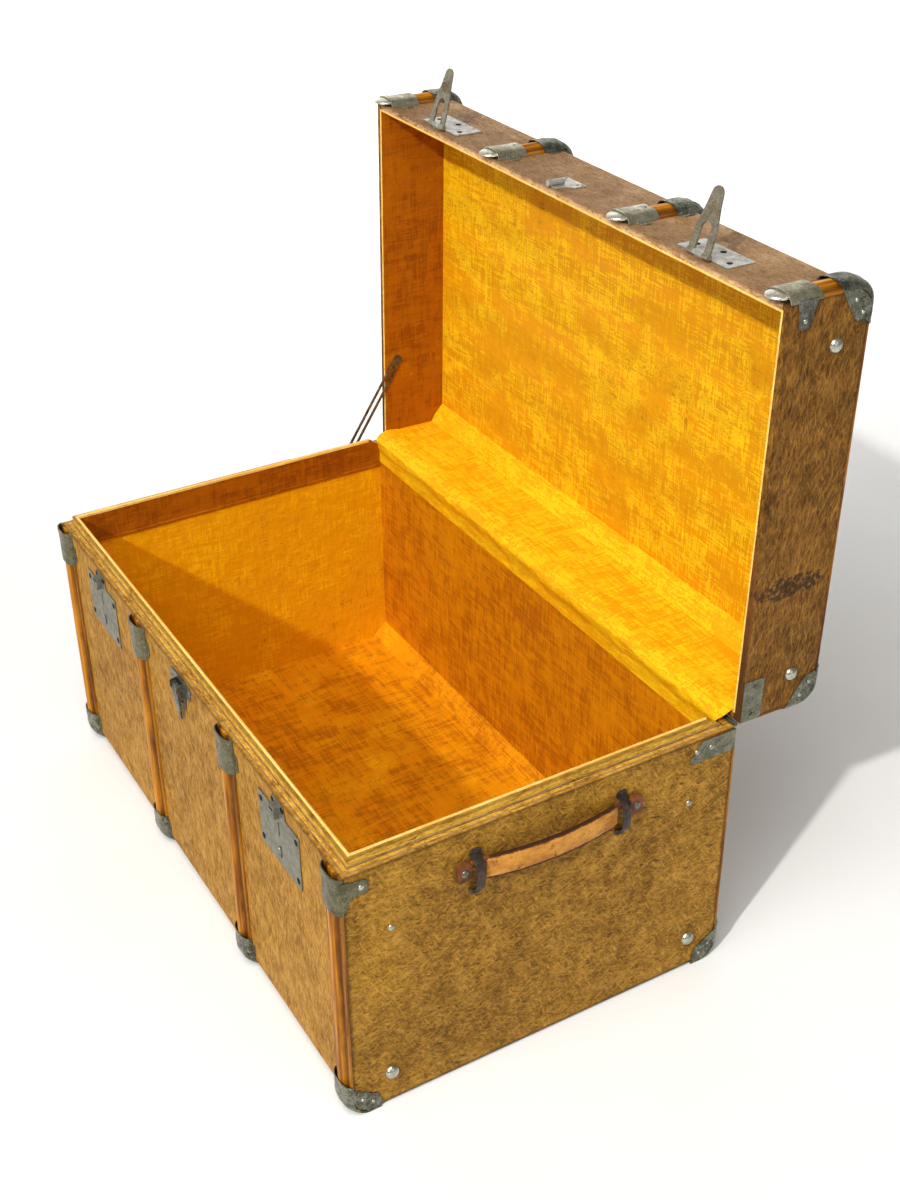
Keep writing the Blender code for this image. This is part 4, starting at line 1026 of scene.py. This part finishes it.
def dress_lining():
    """Cloth linings and their puckered corner strips."""
    walls = [CLOTH_FLOOR, CLOTH_WALL, CLOTH_BACK_SHADED, CLOTH_FLOOR, CLOTH_FLOOR]
    softened("body_lining", walls, 0.0004, choose=lining_side)
    softened("lid_lining", [CLOTH_STREAKED, CLOTH_BROWN, CLOTH_LIT_COPY], 0.0003, choose=lid_lining_side)
    low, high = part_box("body_lining")
    strip_piece("body_corner_strip", low.x + 0.0022, high.x - 0.0022, (high.y - 0.0240, low.z + 0.0012),
                (high.y - 0.0012, low.z + 0.0240), (-0.0006, 0.0006), "body", CLOTH_FLOOR, HERE)
    low, high = closed_box("lid_lining")
    # The lid's corner strip is in the lit copy of the cloth: painted light
    strip_piece("lid_corner_strip", low.x + 0.0012, high.x - 0.0012, (high.y - 0.0008, high.z - 0.0210),
                (high.y - 0.0275, high.z - 0.0008), (-0.0006, -0.0006), "lid", CLOTH_LIT_COPY, LID)


def dress_hinge_cloth():
    """Wrinkled strip of lining cloth that covers the gap over the hinge, shaped for the open lid."""
    half = END - BOARD - 0.0075
    count = 220
    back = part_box("body_lining")[1].y
    lid_back = closed_box("lid_lining")[1].y
    lid_wall = LID @ Vector((0, lid_back - 0.0012, LID_RIM + 0.020))
    lid_rim = LID @ Vector((0, lid_back - 0.0012, LID_RIM + 0.001))
    knots = [Vector((back - 0.0014, RIM - 0.030)), Vector((back - 0.0016, RIM - 0.012)),
             Vector((back - 0.0050, RIM + 0.0015)), Vector((back - 0.0035, RIM + 0.0095)),
             Vector((lid_rim.y - 0.0005, lid_rim.z + 0.0015)), Vector((lid_wall.y, lid_wall.z + 0.0006))]
    steps = 22
    section = []
    for i in range(steps + 1):
        t = i / steps * (len(knots) - 1)
        k = min(int(t), len(knots) - 2)
        f = t - k
        p0, p1, p2, p3 = (knots[max(0, min(len(knots) - 1, n))] for n in (k - 1, k, k + 1, k + 2))
        section.append(0.5 * (2 * p1 + (p2 - p0) * f + (2 * p0 - 5 * p1 + 4 * p2 - p3) * f * f
                              + (3 * p1 - p0 - 3 * p2 + p3) * f ** 3))
    outer = []
    inner = []
    for i in range(count + 1):
        top = []
        bottom = []
        for k, point in enumerate(section):
            reach = half + 0.0055 * min(1.0, max(0.0, (k / steps - 0.45) / 0.2))
            x = reach * (2.0 * i / count - 1.0)
            before = section[max(0, k - 1)]
            after = section[min(steps, k + 1)]
            normal = facing((after - before).normalized(), (-1.0, 0.6))
            loose = math.sin(math.pi * k / steps)
            fold = wavy((x * 22, k * 0.22, 1.0), 1.0, 0.0022)
            fold += wavy((x * 75, k * 0.30 + x * 12, 6.0), 1.0, 0.0010)
            out = point + normal * (0.0009 + fold * loose)
            top.append(Vector((x, out.x, out.y)))
            low = point + normal * (0.0004 + fold * loose)
            bottom.append(Vector((x, low.x, low.y)))
        outer.append(top)
        inner.append(bottom)
    # The fold is in the lit copy of the cloth: a painted highlight along it
    obj = piece("hinge_cloth", skin(outer, inner), CLOTH_LIT_COPY, None, smooth_angle=80)
    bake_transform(obj)


# ---------------------------------------------------------------- battens, clamps and corner irons

def dress_battens():
    """Battens of the body and the lid, and small nails in the flanges of the body's."""
    for number, x in enumerate(BATTEN_X, 1):
        node = "front_batten_%d" % number
        low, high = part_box(node)
        stations = run_down(True, high.z, low.z, cut=CROWN_STOP)
        batten(node + "_look", node, x, stations, "body", low_from=CROWN_STOP)
        node = "back_batten_%d" % number
        low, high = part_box(node)
        batten(node + "_look", node, x, run_down(False, high.z, low.z), "body")
        node = "lid_batten_%d" % number
        batten(node + "_look", node, x, run_over_lid(LID_RIM + 0.0150, LID_RIM + 0.029), "lid", LID)
        spots = []
        for wall, sign in ((FRONT, 1), (BACK, -1)):
            for side in (-1, 1):
                for k in range(5):
                    z = FLOOR + 0.075 + k * 0.052 + 0.004 * side
                    spots.append(spot(wall, sign * x + side * 0.0148, z, FLANGE - 0.0009))
        heads("batten_nails_%d" % number, spots, BATTEN_PIN, NAIL, "body")


def dress_sockets():
    """Cups over the tops of the front battens, with nailed ears and, at the ends, a wrap."""
    for number, x in enumerate(BATTEN_X, 1):
        node = "socket_clamp_%d" % number
        low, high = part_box(node)
        stations = run_down(True, high.z, low.z, 0.004)
        clamp(node + "_look", node, x, stations, "body", CLAMP, dents=0.0004, mouth=True)
        clamp_ears(node, FRONT, x, low.z + 0.004, low.z + 0.034, "body", CLAMP)
        if number in END_SIDE:
            z = (low.z + high.z) / 2 + 0.006
            face = -FACE - 0.004
            points = [(face, low.z + 0.001, 0.001), (-FACE + 0.003, low.z + 0.006, 0.004),
                      (-FACE + 0.008, z - 0.011, 0.004), (-FACE + 0.031, z - 0.009, 0.009),
                      (-FACE + 0.031, z + 0.009, 0.009), (face, high.z - 0.006, 0.002)]
            end_ear(node, END_SIDE[number], points, [(-FACE + 0.0215, z)], "body", CLAMP, radius=0.0038)


def dress_feet():
    """Embossed knees on the lower ends of the battens.

    Each row of a knee is a height on the wall, then an angle round its bend, then its flat foot at 91.
    """
    edge = FACE - EDGE_RADIUS
    turn = FLOOR + EDGE_RADIUS
    for side, word in WALL_SIDES:
        wall = FRONT if side < 0 else BACK
        for number, x in enumerate(BATTEN_X, 1):
            node = "%s_foot_clamp_%d" % (word, number)
            outer = []
            inner = []
            rows = [(turn + 0.028 * (1 - i / 7), None) for i in range(8)]
            rows += [(None, 90 * i / 12) for i in range(1, 13)]
            rows.append((None, 91))
            for z, angle in rows:
                for grid, lift in ((outer, SHEET), (inner, 0.0)):
                    row = []
                    for s, h in dome_row(CLAMP_HALF - SHEET + lift, CROWN + lift):
                        if lift and h > SKIN + 0.0005:
                            way = z * 130 if z is not None else angle * 0.03
                            h += wavy((s * 190, way, x * 9 + side), 1.0, 0.0008)
                        if z is not None:
                            row.append(Vector((x + s, side * (FACE + h), z)))
                        elif angle <= 90:
                            t = math.radians(angle)
                            depth = turn if lift else EDGE_RADIUS + SKIN
                            y = edge + (EDGE_RADIUS + h) * math.cos(t)
                            row.append(Vector((x + s, side * y, turn - depth * math.sin(t))))
                        else:
                            row.append(Vector((x + s, side * (edge - 0.015), 0.0 if lift else FLOOR - SKIN)))
                    grid.append(row)
            obj = piece(node + "_look", skin(outer, inner), CORNER, "body", smooth_angle=60)
            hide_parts(node)
            clamp_ears(node, wall, x, turn - 0.004, turn + 0.022, "body", CORNER, reach=0.009, nails=1)
            if number in END_SIDE:
                points = [(-0.003, EDGE_RADIUS + 0.024, 0.004), (0.012, EDGE_RADIUS + 0.014, 0.010),
                          (0.034, 0.020, 0.008), (0.036, 0.0025, 0.004), (0.018, -0.0015, 0.006),
                          (-0.001, 0.016, 0.012)]
                outline = [(side * (FACE - a), FLOOR + b, radius) for a, b, radius in points]
                rivets = [(side * (FACE - a), FLOOR + b) for a, b in ((0.010, 0.022), (0.024, 0.012))]
                end_ear(node, END_SIDE[number], outline, rivets, "body", CORNER, radius=0.0024)


def dress_lid_corners():
    """Embossed clamps where each lid batten turns over the front and back edges of the lid."""
    edge = FACE - EDGE_RADIUS
    turn = LID_TOP - EDGE_RADIUS
    for side, word in WALL_SIDES:
        wall = FRONT if side < 0 else BACK
        for number, x in enumerate(BATTEN_X, 1):
            points = [((side * FACE, turn - 0.022 + 0.0055 * i), (side, 0.0)) for i in range(4)]
            for i in range(11):
                angle = math.radians(90 * i / 10)
                normal = (side * math.cos(angle), math.sin(angle))
                base = (side * edge + EDGE_RADIUS * normal[0], turn + EDGE_RADIUS * normal[1])
                points.append((base, normal))
            points += [((side * (edge - 0.0055 * i), LID_TOP), (0.0, 1.0)) for i in range(1, 5)]
            stations = [(base, normal, i * 0.006) for i, (base, normal) in enumerate(points)]
            name = "lid_%s_corner_%d" % (word, number)
            clamp(name, None, x, stations, "lid", CORNER, LID, dents=0.0010)
            clamp_ears(name, wall, x, turn - 0.020, turn + 0.002, "lid", CORNER, LID, reach=0.009, nails=1)
            clamp_ears(name + "_top", TOP, x, *sorted((side * (edge + 0.002), side * (edge - 0.020))), "lid",
                       CORNER, LID, reach=0.009, nails=1)
            if number in END_SIDE:
                points = [(-0.003, EDGE_RADIUS + 0.022, 0.004), (0.012, EDGE_RADIUS + 0.014, 0.010),
                          (0.036, 0.018, 0.008), (0.040, -0.002, 0.004), (0.016, -0.002, 0.010),
                          (-0.002, 0.016, 0.012)]
                outline = [(side * (FACE - a), LID_TOP - b, radius) for a, b, radius in points]
                rivets = [(side * (FACE - a), LID_TOP - b) for a, b in ((0.010, 0.022), (0.026, 0.010))]
                end_ear(name, END_SIDE[number], outline, rivets, "lid", CORNER, LID, radius=0.0024)


def tongue_nose(name, x):
    """Bright rounded nose that enters the socket below the lid's rim; its pale steel is partly rubbed bright and
    partly a painted highlight.

    Its rows are (height over the rim, half width, crown).
    """
    low = 0.0047
    outer = []
    inner = []
    for rise, half, high in ((0.0100, 0.0150, 0.0097), (0.0024, 0.0150, 0.0097), (-0.0030, 0.0142, 0.0093),
                             (-0.0075, 0.0116, 0.0086), (-0.0110, 0.0078, 0.0074), (-0.0131, 0.0030, 0.0060)):
        turns = [math.pi * i / 12 for i in range(13)]
        z = LID_RIM + rise
        outer.append([Vector((x - half * math.cos(t), -FACE - low - (high - low) * math.sin(t) ** 0.7, z))
                      for t in turns])
        inner.append([Vector((x - half * math.cos(t) * 0.98, -FACE - low, z)) for t in turns])
    piece(name, skin(outer, inner), TIP, "lid", LID, smooth_angle=60)


def tongue_ring(name, x, low):
    """Raised band round a tongue clamp, near its mouth."""
    bm = bmesh.new()
    width = 0.0020
    outline = [(s, h + 0.0001) for s, h in dome_row(CLAMP_HALF, CLAMP_HEIGHT + 0.0007)]
    for (s0, h0), (s1, h1) in zip(outline, outline[1:]):
        section = ((s0, h0), (s1, h1), (s1, max(SKIN, h1 - SHEET)), (s0, max(SKIN, h0 - SHEET)))
        verts = [bm.verts.new((x + s, -FACE - h, z)) for z in (low, low + width) for s, h in section]
        for face in ((0, 1, 2, 3), (7, 6, 5, 4), (0, 4, 5, 1), (2, 6, 7, 3)):
            bm.faces.new([verts[i] for i in face])
    bmesh.ops.remove_doubles(bm, verts=bm.verts, dist=1e-6)
    piece(name, bm, TONGUE, "lid", LID)


def dress_tongues():
    """Domed clamps on the lid's front rim with bright noses, a rolled edge and a nail on the crown."""
    for number, x in enumerate(BATTEN_X, 1):
        node = "tongue_clamp_%d" % number
        low = LID_RIM + 0.0022
        top = LID_RIM + 0.0460
        stations = run_down(True, low, top, 0.004)
        clamp(node + "_look", node, x, stations, "lid", TONGUE, LID, dents=0.0003, mouth=True)
        tongue_nose(node + "_nose", x)
        tongue_ring(node + "_ring", x, low + 0.0052)
        crown = FRONT @ Matrix.Translation((x, top - 0.0075, SKIN + CLAMP_HEIGHT))
        heads(node + "_crown_nail", [crown], CROWN_NAIL, TONGUE, "lid", LID)
        clamp_ears(node, FRONT, x, LID_RIM + 0.013, LID_RIM + 0.033, "lid", TONGUE, LID, reach=0.010, nails=1)
        if number in END_SIDE:
            z = LID_RIM + 0.022
            points = [(-FACE - 0.0035, z - 0.010, 0.001), (-FACE + 0.018, z - 0.007, 0.005),
                      (-FACE + 0.031, z - 0.006, 0.009), (-FACE + 0.031, z + 0.010, 0.009),
                      (-FACE + 0.014, z + 0.013, 0.005), (-FACE - 0.0035, z + 0.018, 0.001)]
            rivets = [(-FACE + 0.021, z + 0.002)]
            end_ear(node, END_SIDE[number], points, rivets, "lid", CATCH, LID, radius=0.0030)


# ---------------------------------------------------------------- locks, hasps, catch and hinges

def dress_locks():
    """Lock plates with nails, a dark plate in the mouth of the staple box as painted shade, and the key cover."""
    for side, word in SIDES:
        node = "lock_plate_" + word
        low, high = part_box(node)
        x = side * LOCK_X
        softened(node, PLATE, 0.0005)
        heights = (high.z - 0.028, low.z + 0.011)
        spots = [spot(FRONT, x + a, b, PLATE_FACE) for a in (-0.047, 0.047) for b in heights]
        spots += [spot(FRONT, x + a, high.z - 0.006, PLATE_FACE) for a in (-0.0125, 0.0125)]
        heads(node + "_nails", spots, LOCK_NAIL, DARK, "body")
        # Dark plate set in the staple box's mouth: painted shade in the opening
        bm = bmesh.new()
        mouth = [(x + a, RIM + b) for a, b in ((-0.0048, -0.0135), (0.0048, -0.0135), (0.0048, -0.0100),
                                               (-0.0048, -0.0100))]
        add_plate(bm, rounded(mouth, 0.0008), 0.0096, 0.0101, FRONT)
        piece(node + "_mouth_shade", bm, DARK, "body")
        bm = bmesh.new()
        cover = [(x + a, low.z + b) for a, b in ((-0.0042, 0.012), (0.0042, 0.012), (0.0036, 0.026),
                                                 (0.0, 0.030), (-0.0036, 0.026))]
        add_plate(bm, rounded(cover, 0.0040), PLATE_FACE, PLATE_FACE + 0.0012, FRONT)
        soften(bm, 0.0004, 50, 1)
        piece(node + "_key_cover", bm, CATCH, "body")
        rivet = spot(FRONT, x, low.z + 0.0255, PLATE_FACE + 0.0011)
        heads(node + "_cover_rivet", [rivet], COVER_RIVET, RIVET, "body")


def dress_hasps():
    """Hasp plates with nails and rubbed hasps."""
    for side, word in SIDES:
        x = side * LOCK_X
        low, high = closed_box("hasp_plate_" + word)
        softened("hasp_plate_" + word, HASP_PLATE, 0.0005)
        softened("hasp_" + word, HASP, 0.0006)
        middle = (low.z + high.z) / 2
        spots = [spot(FRONT, x + a, middle + b, PLATE_FACE)
                 for a, b in ((-0.034, 0.004), (0.034, -0.004), (0.002, 0.013))]
        heads("hasp_plate_%s_nails" % word, spots, HASP_NAIL, DARK, "lid", LID)


def dress_catch():
    """Centre catch, its lever and the staple that it holds on the lid."""
    softened("catch_plate", CATCH, 0.0004)
    softened("catch_lever", CATCH, 0.0005)
    softened("lid_staple", HASP_PLATE, 0.0005)
    low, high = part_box("catch_plate")
    middle = RIM - 0.017
    spots = [spot(FRONT, a, middle, 0.0014) for a in (-0.026, 0.026)]
    spots += [spot(FRONT, 0.0, low.z + 0.006, 0.0014)]
    heads("catch_nails", spots, CATCH_NAIL, NAIL, "body")
    low, high = closed_box("lid_staple")
    spots = [spot(FRONT, a, high.z - 0.0035, 0.0018) for a in (-0.0175, 0.0175)]
    heads("lid_staple_nails", spots, STAPLE_NAIL, NAIL, "lid", LID)


def dress_hinges():
    """Hinge leaves with rivets on their end plates, and the stay."""
    for node in ("hinge_body_leaf", "hinge_lid_leaf", "hinge_pin"):
        softened(node, HINGE_STEEL, 0.0003, angle=50)
    softened("lid_stay", STAY, 0.0004)
    for side, word in SIDES:
        wall = end_wall(side)
        spots = [spot(wall, side * y, RIM - 0.0165, SKIN + SHEET) for y in (FACE - 0.0345, FACE - 0.0560)]
        heads("body_leaf_rivets_" + word, spots, BODY_LEAF_RIVET, RIVET, "body")
        spots = [spot(wall, side * (HINGE.y - a), LID_RIM + 0.017, SKIN + SHEET)
                 for a in (0.012, 0.033, 0.052)]
        heads("lid_leaf_rivets_" + word, spots, LID_LEAF_RIVET, NAIL, "lid", LID)


def dress_studs():
    """Large domed studs and small nails on the end boards of the body and the lid."""
    for side, word in SIDES:
        wall = end_wall(side)
        large = [spot(wall, side * y, z) for y, z in ((-0.214, 0.049), (0.221, 0.050))]
        heads("body_studs_" + word, large, BODY_STUD, RIVET, "body")
        small = [spot(wall, side * y, z) for y, z in ((-0.208, 0.277), (0.204, 0.2815))]
        heads("body_small_studs_" + word, small, SMALL_STUD, RIVET, "body")
        large = [spot(wall, side * (HINGE.y - a), RIM + b) for a, b in ((0.475, 0.074), (0.050, 0.0755))]
        heads("lid_studs_" + word, large, LID_STUD, RIVET, "lid", LID)


# ---------------------------------------------------------------- handles

def loop_piece(name, node, side, centre_y):
    """Blackened iron loop: round nailed ears above and below a bridge over the strap.

    Half of its path is (distance out of the wall, distance from the loop's end, half width).
    """
    low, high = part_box(node)
    ear = [(SKIN, 0.0, 0.0041), (SKIN, 0.0040, 0.0086), (SKIN, 0.0095, 0.0076),
           (0.0040, 0.0125, 0.0064), (0.0100, 0.0145, 0.0062), (0.0128, 0.0185, 0.0062)]
    path = [(out, high.z - z, half) for out, z, half in ear]
    path.append((0.0132, (low.z + high.z) / 2, 0.0063))
    path += [(out, low.z + z, half) for out, z, half in reversed(ear)]
    outer = []
    inner = []
    thick = 0.0018
    for i, (x, z, half) in enumerate(path):
        before = Vector(path[max(0, i - 1)][:2])
        after = Vector(path[min(len(path) - 1, i + 1)][:2])
        normal = facing((after - before).normalized(), (1, 0))
        top = []
        bottom = []
        for k in range(7):
            s = -1 + 2 * k / 6
            crown = 0.0005 * (1 - s * s)
            for grid, lift in ((top, thick + crown), (bottom, 0.0)):
                p = Vector((x, z)) + normal * lift
                grid.append(Vector((side * (END + p.x), centre_y + s * half, p.y)))
        outer.append(top)
        inner.append(bottom)
    obj = piece(name, skin(outer, inner), IRON, "body", smooth_angle=50)
    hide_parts(node)
    modifier = obj.modifiers.new("rounder", "SUBSURF")
    modifier.levels = 2
    modifier.render_levels = 2
    wall = end_wall(side)
    spots = [spot(wall, side * centre_y, z, 0.0021) for z in (high.z - 0.0048, low.z + 0.0048)]
    heads(name + "_nails", spots, LOOP_NAIL, IRON, "body")


def strap_face(y):
    """How far the strap's middle line stands out at a distance along it."""
    return STRAP_BOW * (1.0 - (y / STRAP_REACH) ** 2)


def strap_narrowing(y):
    """Share of its full height that the strap has at a distance along it, less at its very ends."""
    t = abs(y) / STRAP_REACH
    return 1.0 if t < 0.93 else 1.0 - 0.10 * (t - 0.93) / 0.07


def strap_piece(side, word):
    """Bowed strap of folded leather with a crowned face and a groove along each edge."""
    axis = Vector(joints["handle_%s_swing" % word]["pos_m"])
    count = 60
    sides = 24
    rings = []
    for i in range(count + 1):
        y = -STRAP_REACH + 2 * STRAP_REACH * i / count
        centre_x = axis.x + side * strap_face(y)
        tall = STRAP_HALF * strap_narrowing(y)
        ring = []
        for k in range(sides):
            t = 2 * math.pi * k / sides
            c = math.copysign(abs(math.cos(t)) ** 0.35, math.cos(t))
            s = math.copysign(abs(math.sin(t)) ** 0.55, math.sin(t))
            crown = 0.0009 * (1 - s * s) if c > 0 else 0.0
            soft = wavy((y * 60, k * 0.8, side * 3.0), 1.0, 0.0003)
            groove = -0.0004 if c > 0 and 0.80 < abs(s) < 0.93 else 0.0
            out = c * STRAP_THICK + crown + soft + groove
            ring.append(Vector((centre_x + side * out, y, STRAP_MIDDLE + s * tall * 0.99 + soft)))
        rings.append(ring)
    obj = piece("handle_strap_%s_look" % word, tube(rings), LEATHER, "handle_" + word, smooth_angle=60)
    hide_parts("handle_strap_" + word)


def strap_stitches(side, word):
    """Two rows of short stitches along the strap's face."""
    axis = Vector(joints["handle_%s_swing" % word]["pos_m"])
    bm = bmesh.new()
    pitch = 0.0052
    first = 0.005 - STRAP_REACH
    stitches = int(-2 * first / pitch)
    shape = Matrix.Diagonal((0.0005, 0.0017, 0.00055, 1.0))
    for row in (-1, 1):
        for i in range(stitches + 1):
            y = first + i * pitch
            slope = math.atan(-2 * STRAP_BOW * y / STRAP_REACH ** 2) * side
            where = (axis.x + side * (strap_face(y) + STRAP_THICK), y, STRAP_MIDDLE + row * STRAP_HALF * 0.86)
            place = Matrix.Translation(where) @ Matrix.Rotation(-slope, 4, "Z")
            bmesh.ops.create_uvsphere(bm, u_segments=8, v_segments=6, radius=1.0, matrix=place @ shape)
    piece("handle_stitches_" + word, bm, THREAD, "handle_" + word, smooth_angle=80)


def strap_tabs(side, word):
    """Necks that pass through the loops, and the riveted tabs beyond them."""
    axis = Vector(joints["handle_%s_swing" % word]["pos_m"])
    wall = frame_at((axis.x, 0, axis.z), (0, side, 0), (0, 0, 1))
    bm = bmesh.new()
    spots = []
    for end in (-1, 1):
        a, b = sorted((end * (STRAP_REACH - 0.004), end * 0.1095))
        neck = [(a, -0.0042), (b, -0.0042), (b, 0.0038), (a, 0.0038)]
        c, d = sorted((end * 0.1085, end * 0.1265))
        tab = [(c, -0.0215), (d, -0.0190), (d, 0.0040), (c, 0.0060)]
        for outline, corner, low, high in ((neck, 0.0008, -0.0022, 0.0022), (tab, 0.0050, -0.0030, 0.0032)):
            turned = [(side * y, z) for y, z in outline][::side]
            add_plate(bm, rounded(turned, corner), low, high, wall)
        spots.append(spot(wall, side * end * 0.1175, -0.0078, 0.0032))
    soften(bm, 0.0008, 50, 2)
    piece("handle_tabs_" + word, bm, TAB, "handle_" + word, smooth_angle=50)
    heads("handle_rivets_" + word, spots, STRAP_RIVET, CATCH, "handle_" + word)


def dress_handles():
    """Both handles: strap, stitches, tabs and loops."""
    for side, word in SIDES:
        strap_piece(side, word)
        strap_stitches(side, word)
        strap_tabs(side, word)
        for label in ("front", "back"):
            node = "handle_loop_%s_%s" % (word, label)
            low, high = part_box(node)
            loop_piece(node + "_look", node, side, (low.y + high.y) / 2)


# ---------------------------------------------------------------- stage, light and camera

CAMERA_AZIMUTH = 60.0


def floor_look():
    """Matt, very slightly uneven pale floor."""
    look = Look("studio_floor", specular=0.2)
    shade = look.noise(3.0, detail=2.0)
    colour = look.mix(look.level(shade, 0.3, 0.7), (0.86, 0.86, 0.85), (0.89, 0.89, 0.88))
    return look.done(colour, 0.7)


def make_stage():
    """Pale floor that curves up into a backdrop far behind the trunk."""
    bm = bmesh.new()
    reach = 9.0
    start = 3.5
    bend = 1.5
    turns = [math.pi / 2 * i / 10 for i in range(1, 11)]
    profile = [(-reach, 0.0), (start, 0.0)]
    profile += [(start + bend * math.sin(t), bend - bend * math.cos(t)) for t in turns]
    profile.append((start + bend, 6.0))
    turn = Matrix.Rotation(math.radians(CAMERA_AZIMUTH), 4, "Z")
    rows = [[bm.verts.new(turn @ Vector((x, y, z))) for x in (-reach, reach)] for y, z in profile]
    for a, b in zip(rows, rows[1:]):
        bm.faces.new((a[0], a[1], b[1], b[0]))
    mesh = bpy.data.meshes.new("studio_floor")
    bm.to_mesh(mesh)
    bm.free()
    mesh.shade_smooth()
    mesh.materials.append(floor_look())
    floor = bpy.data.objects.new("studio_floor", mesh)
    bpy.context.scene.collection.objects.link(floor)


def toward(azimuth, elevation):
    """Unit direction at an azimuth and elevation in degrees; azimuth 0 is the front and 90 the right."""
    azimuth = math.radians(azimuth)
    elevation = math.radians(elevation)
    return Vector((math.sin(azimuth) * math.cos(elevation), -math.cos(azimuth) * math.cos(elevation),
                   math.sin(elevation)))


def area_light(name, direction, distance, size, power, target, colour=(1, 1, 1)):
    """Round light of a size, at a distance from its target in a direction."""
    back = toward(*direction)
    data = bpy.data.lights.new(name, "AREA")
    data.shape = "DISK"
    data.size = size
    data.energy = power
    data.color = colour
    light = bpy.data.objects.new(name, data)
    light.location = Vector(target) + back * distance
    light.rotation_mode = "QUATERNION"
    light.rotation_quaternion = (-back).to_track_quat("-Z", "Y")
    bpy.context.scene.collection.objects.link(light)


def make_lights():
    """Distant key light for the clear shadows inside, a broad one above, and weak broad fills."""
    centre = (0.0, 0.05, 0.35)
    area_light("key", (28, 38.4), 16.0, 0.50, 1750, centre, (1.0, 0.98, 0.94))
    area_light("high", (41, 60.0), 3.4, 2.4, 70, centre, (1.0, 0.985, 0.96))
    area_light("fill_right", (95, 25), 4.0, 3.0, 15, centre, (0.98, 0.98, 1.0))
    area_light("fill_front", (-15, 30), 4.5, 3.5, 10, centre, (1.0, 0.98, 0.95))
    area_light("backdrop", (60, 45), 2.5, 2.5, 75, (-3.9, 2.25, 0.6))
    world = bpy.data.worlds.new("studio")
    world.use_nodes = True
    shade = world.node_tree.nodes["Background"]
    shade.inputs["Color"].default_value = (1.0, 0.995, 0.985, 1.0)
    shade.inputs["Strength"].default_value = 0.21
    bpy.context.scene.world = world


def make_camera():
    """Camera high at the right-hand front, as the photograph was taken."""
    back = toward(CAMERA_AZIMUTH, 32.22)
    roll = math.radians(0.54)
    target = Vector((-0.0215, 0.1434, 0.3384))
    distance = 2.278
    data = bpy.data.cameras.new("camera")
    data.lens = 49.06
    data.sensor_width = 36.0
    data.clip_start = 0.05
    camera = bpy.data.objects.new("camera", data)
    camera.location = target + back * distance
    turn = (-back).to_track_quat("-Z", "Y").to_matrix() @ Matrix.Rotation(-roll, 3, "Z")
    camera.rotation_mode = "QUATERNION"
    camera.rotation_quaternion = turn.to_quaternion()
    bpy.context.scene.collection.objects.link(camera)
    bpy.context.scene.camera = camera


def main():
    """Dress the trunk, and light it."""
    dress_boards()
    dress_rim()
    dress_lid_rim()
    dress_lining()
    dress_hinge_cloth()
    dress_battens()
    dress_sockets()
    dress_feet()
    dress_lid_corners()
    dress_tongues()
    dress_locks()
    dress_hasps()
    dress_catch()
    dress_hinges()
    dress_studs()
    dress_handles()
    make_stage()
    make_lights()
    make_camera()
    bpy.context.scene.view_settings.view_transform = "Standard"
    bpy.context.scene.view_settings.look = "None"


main()
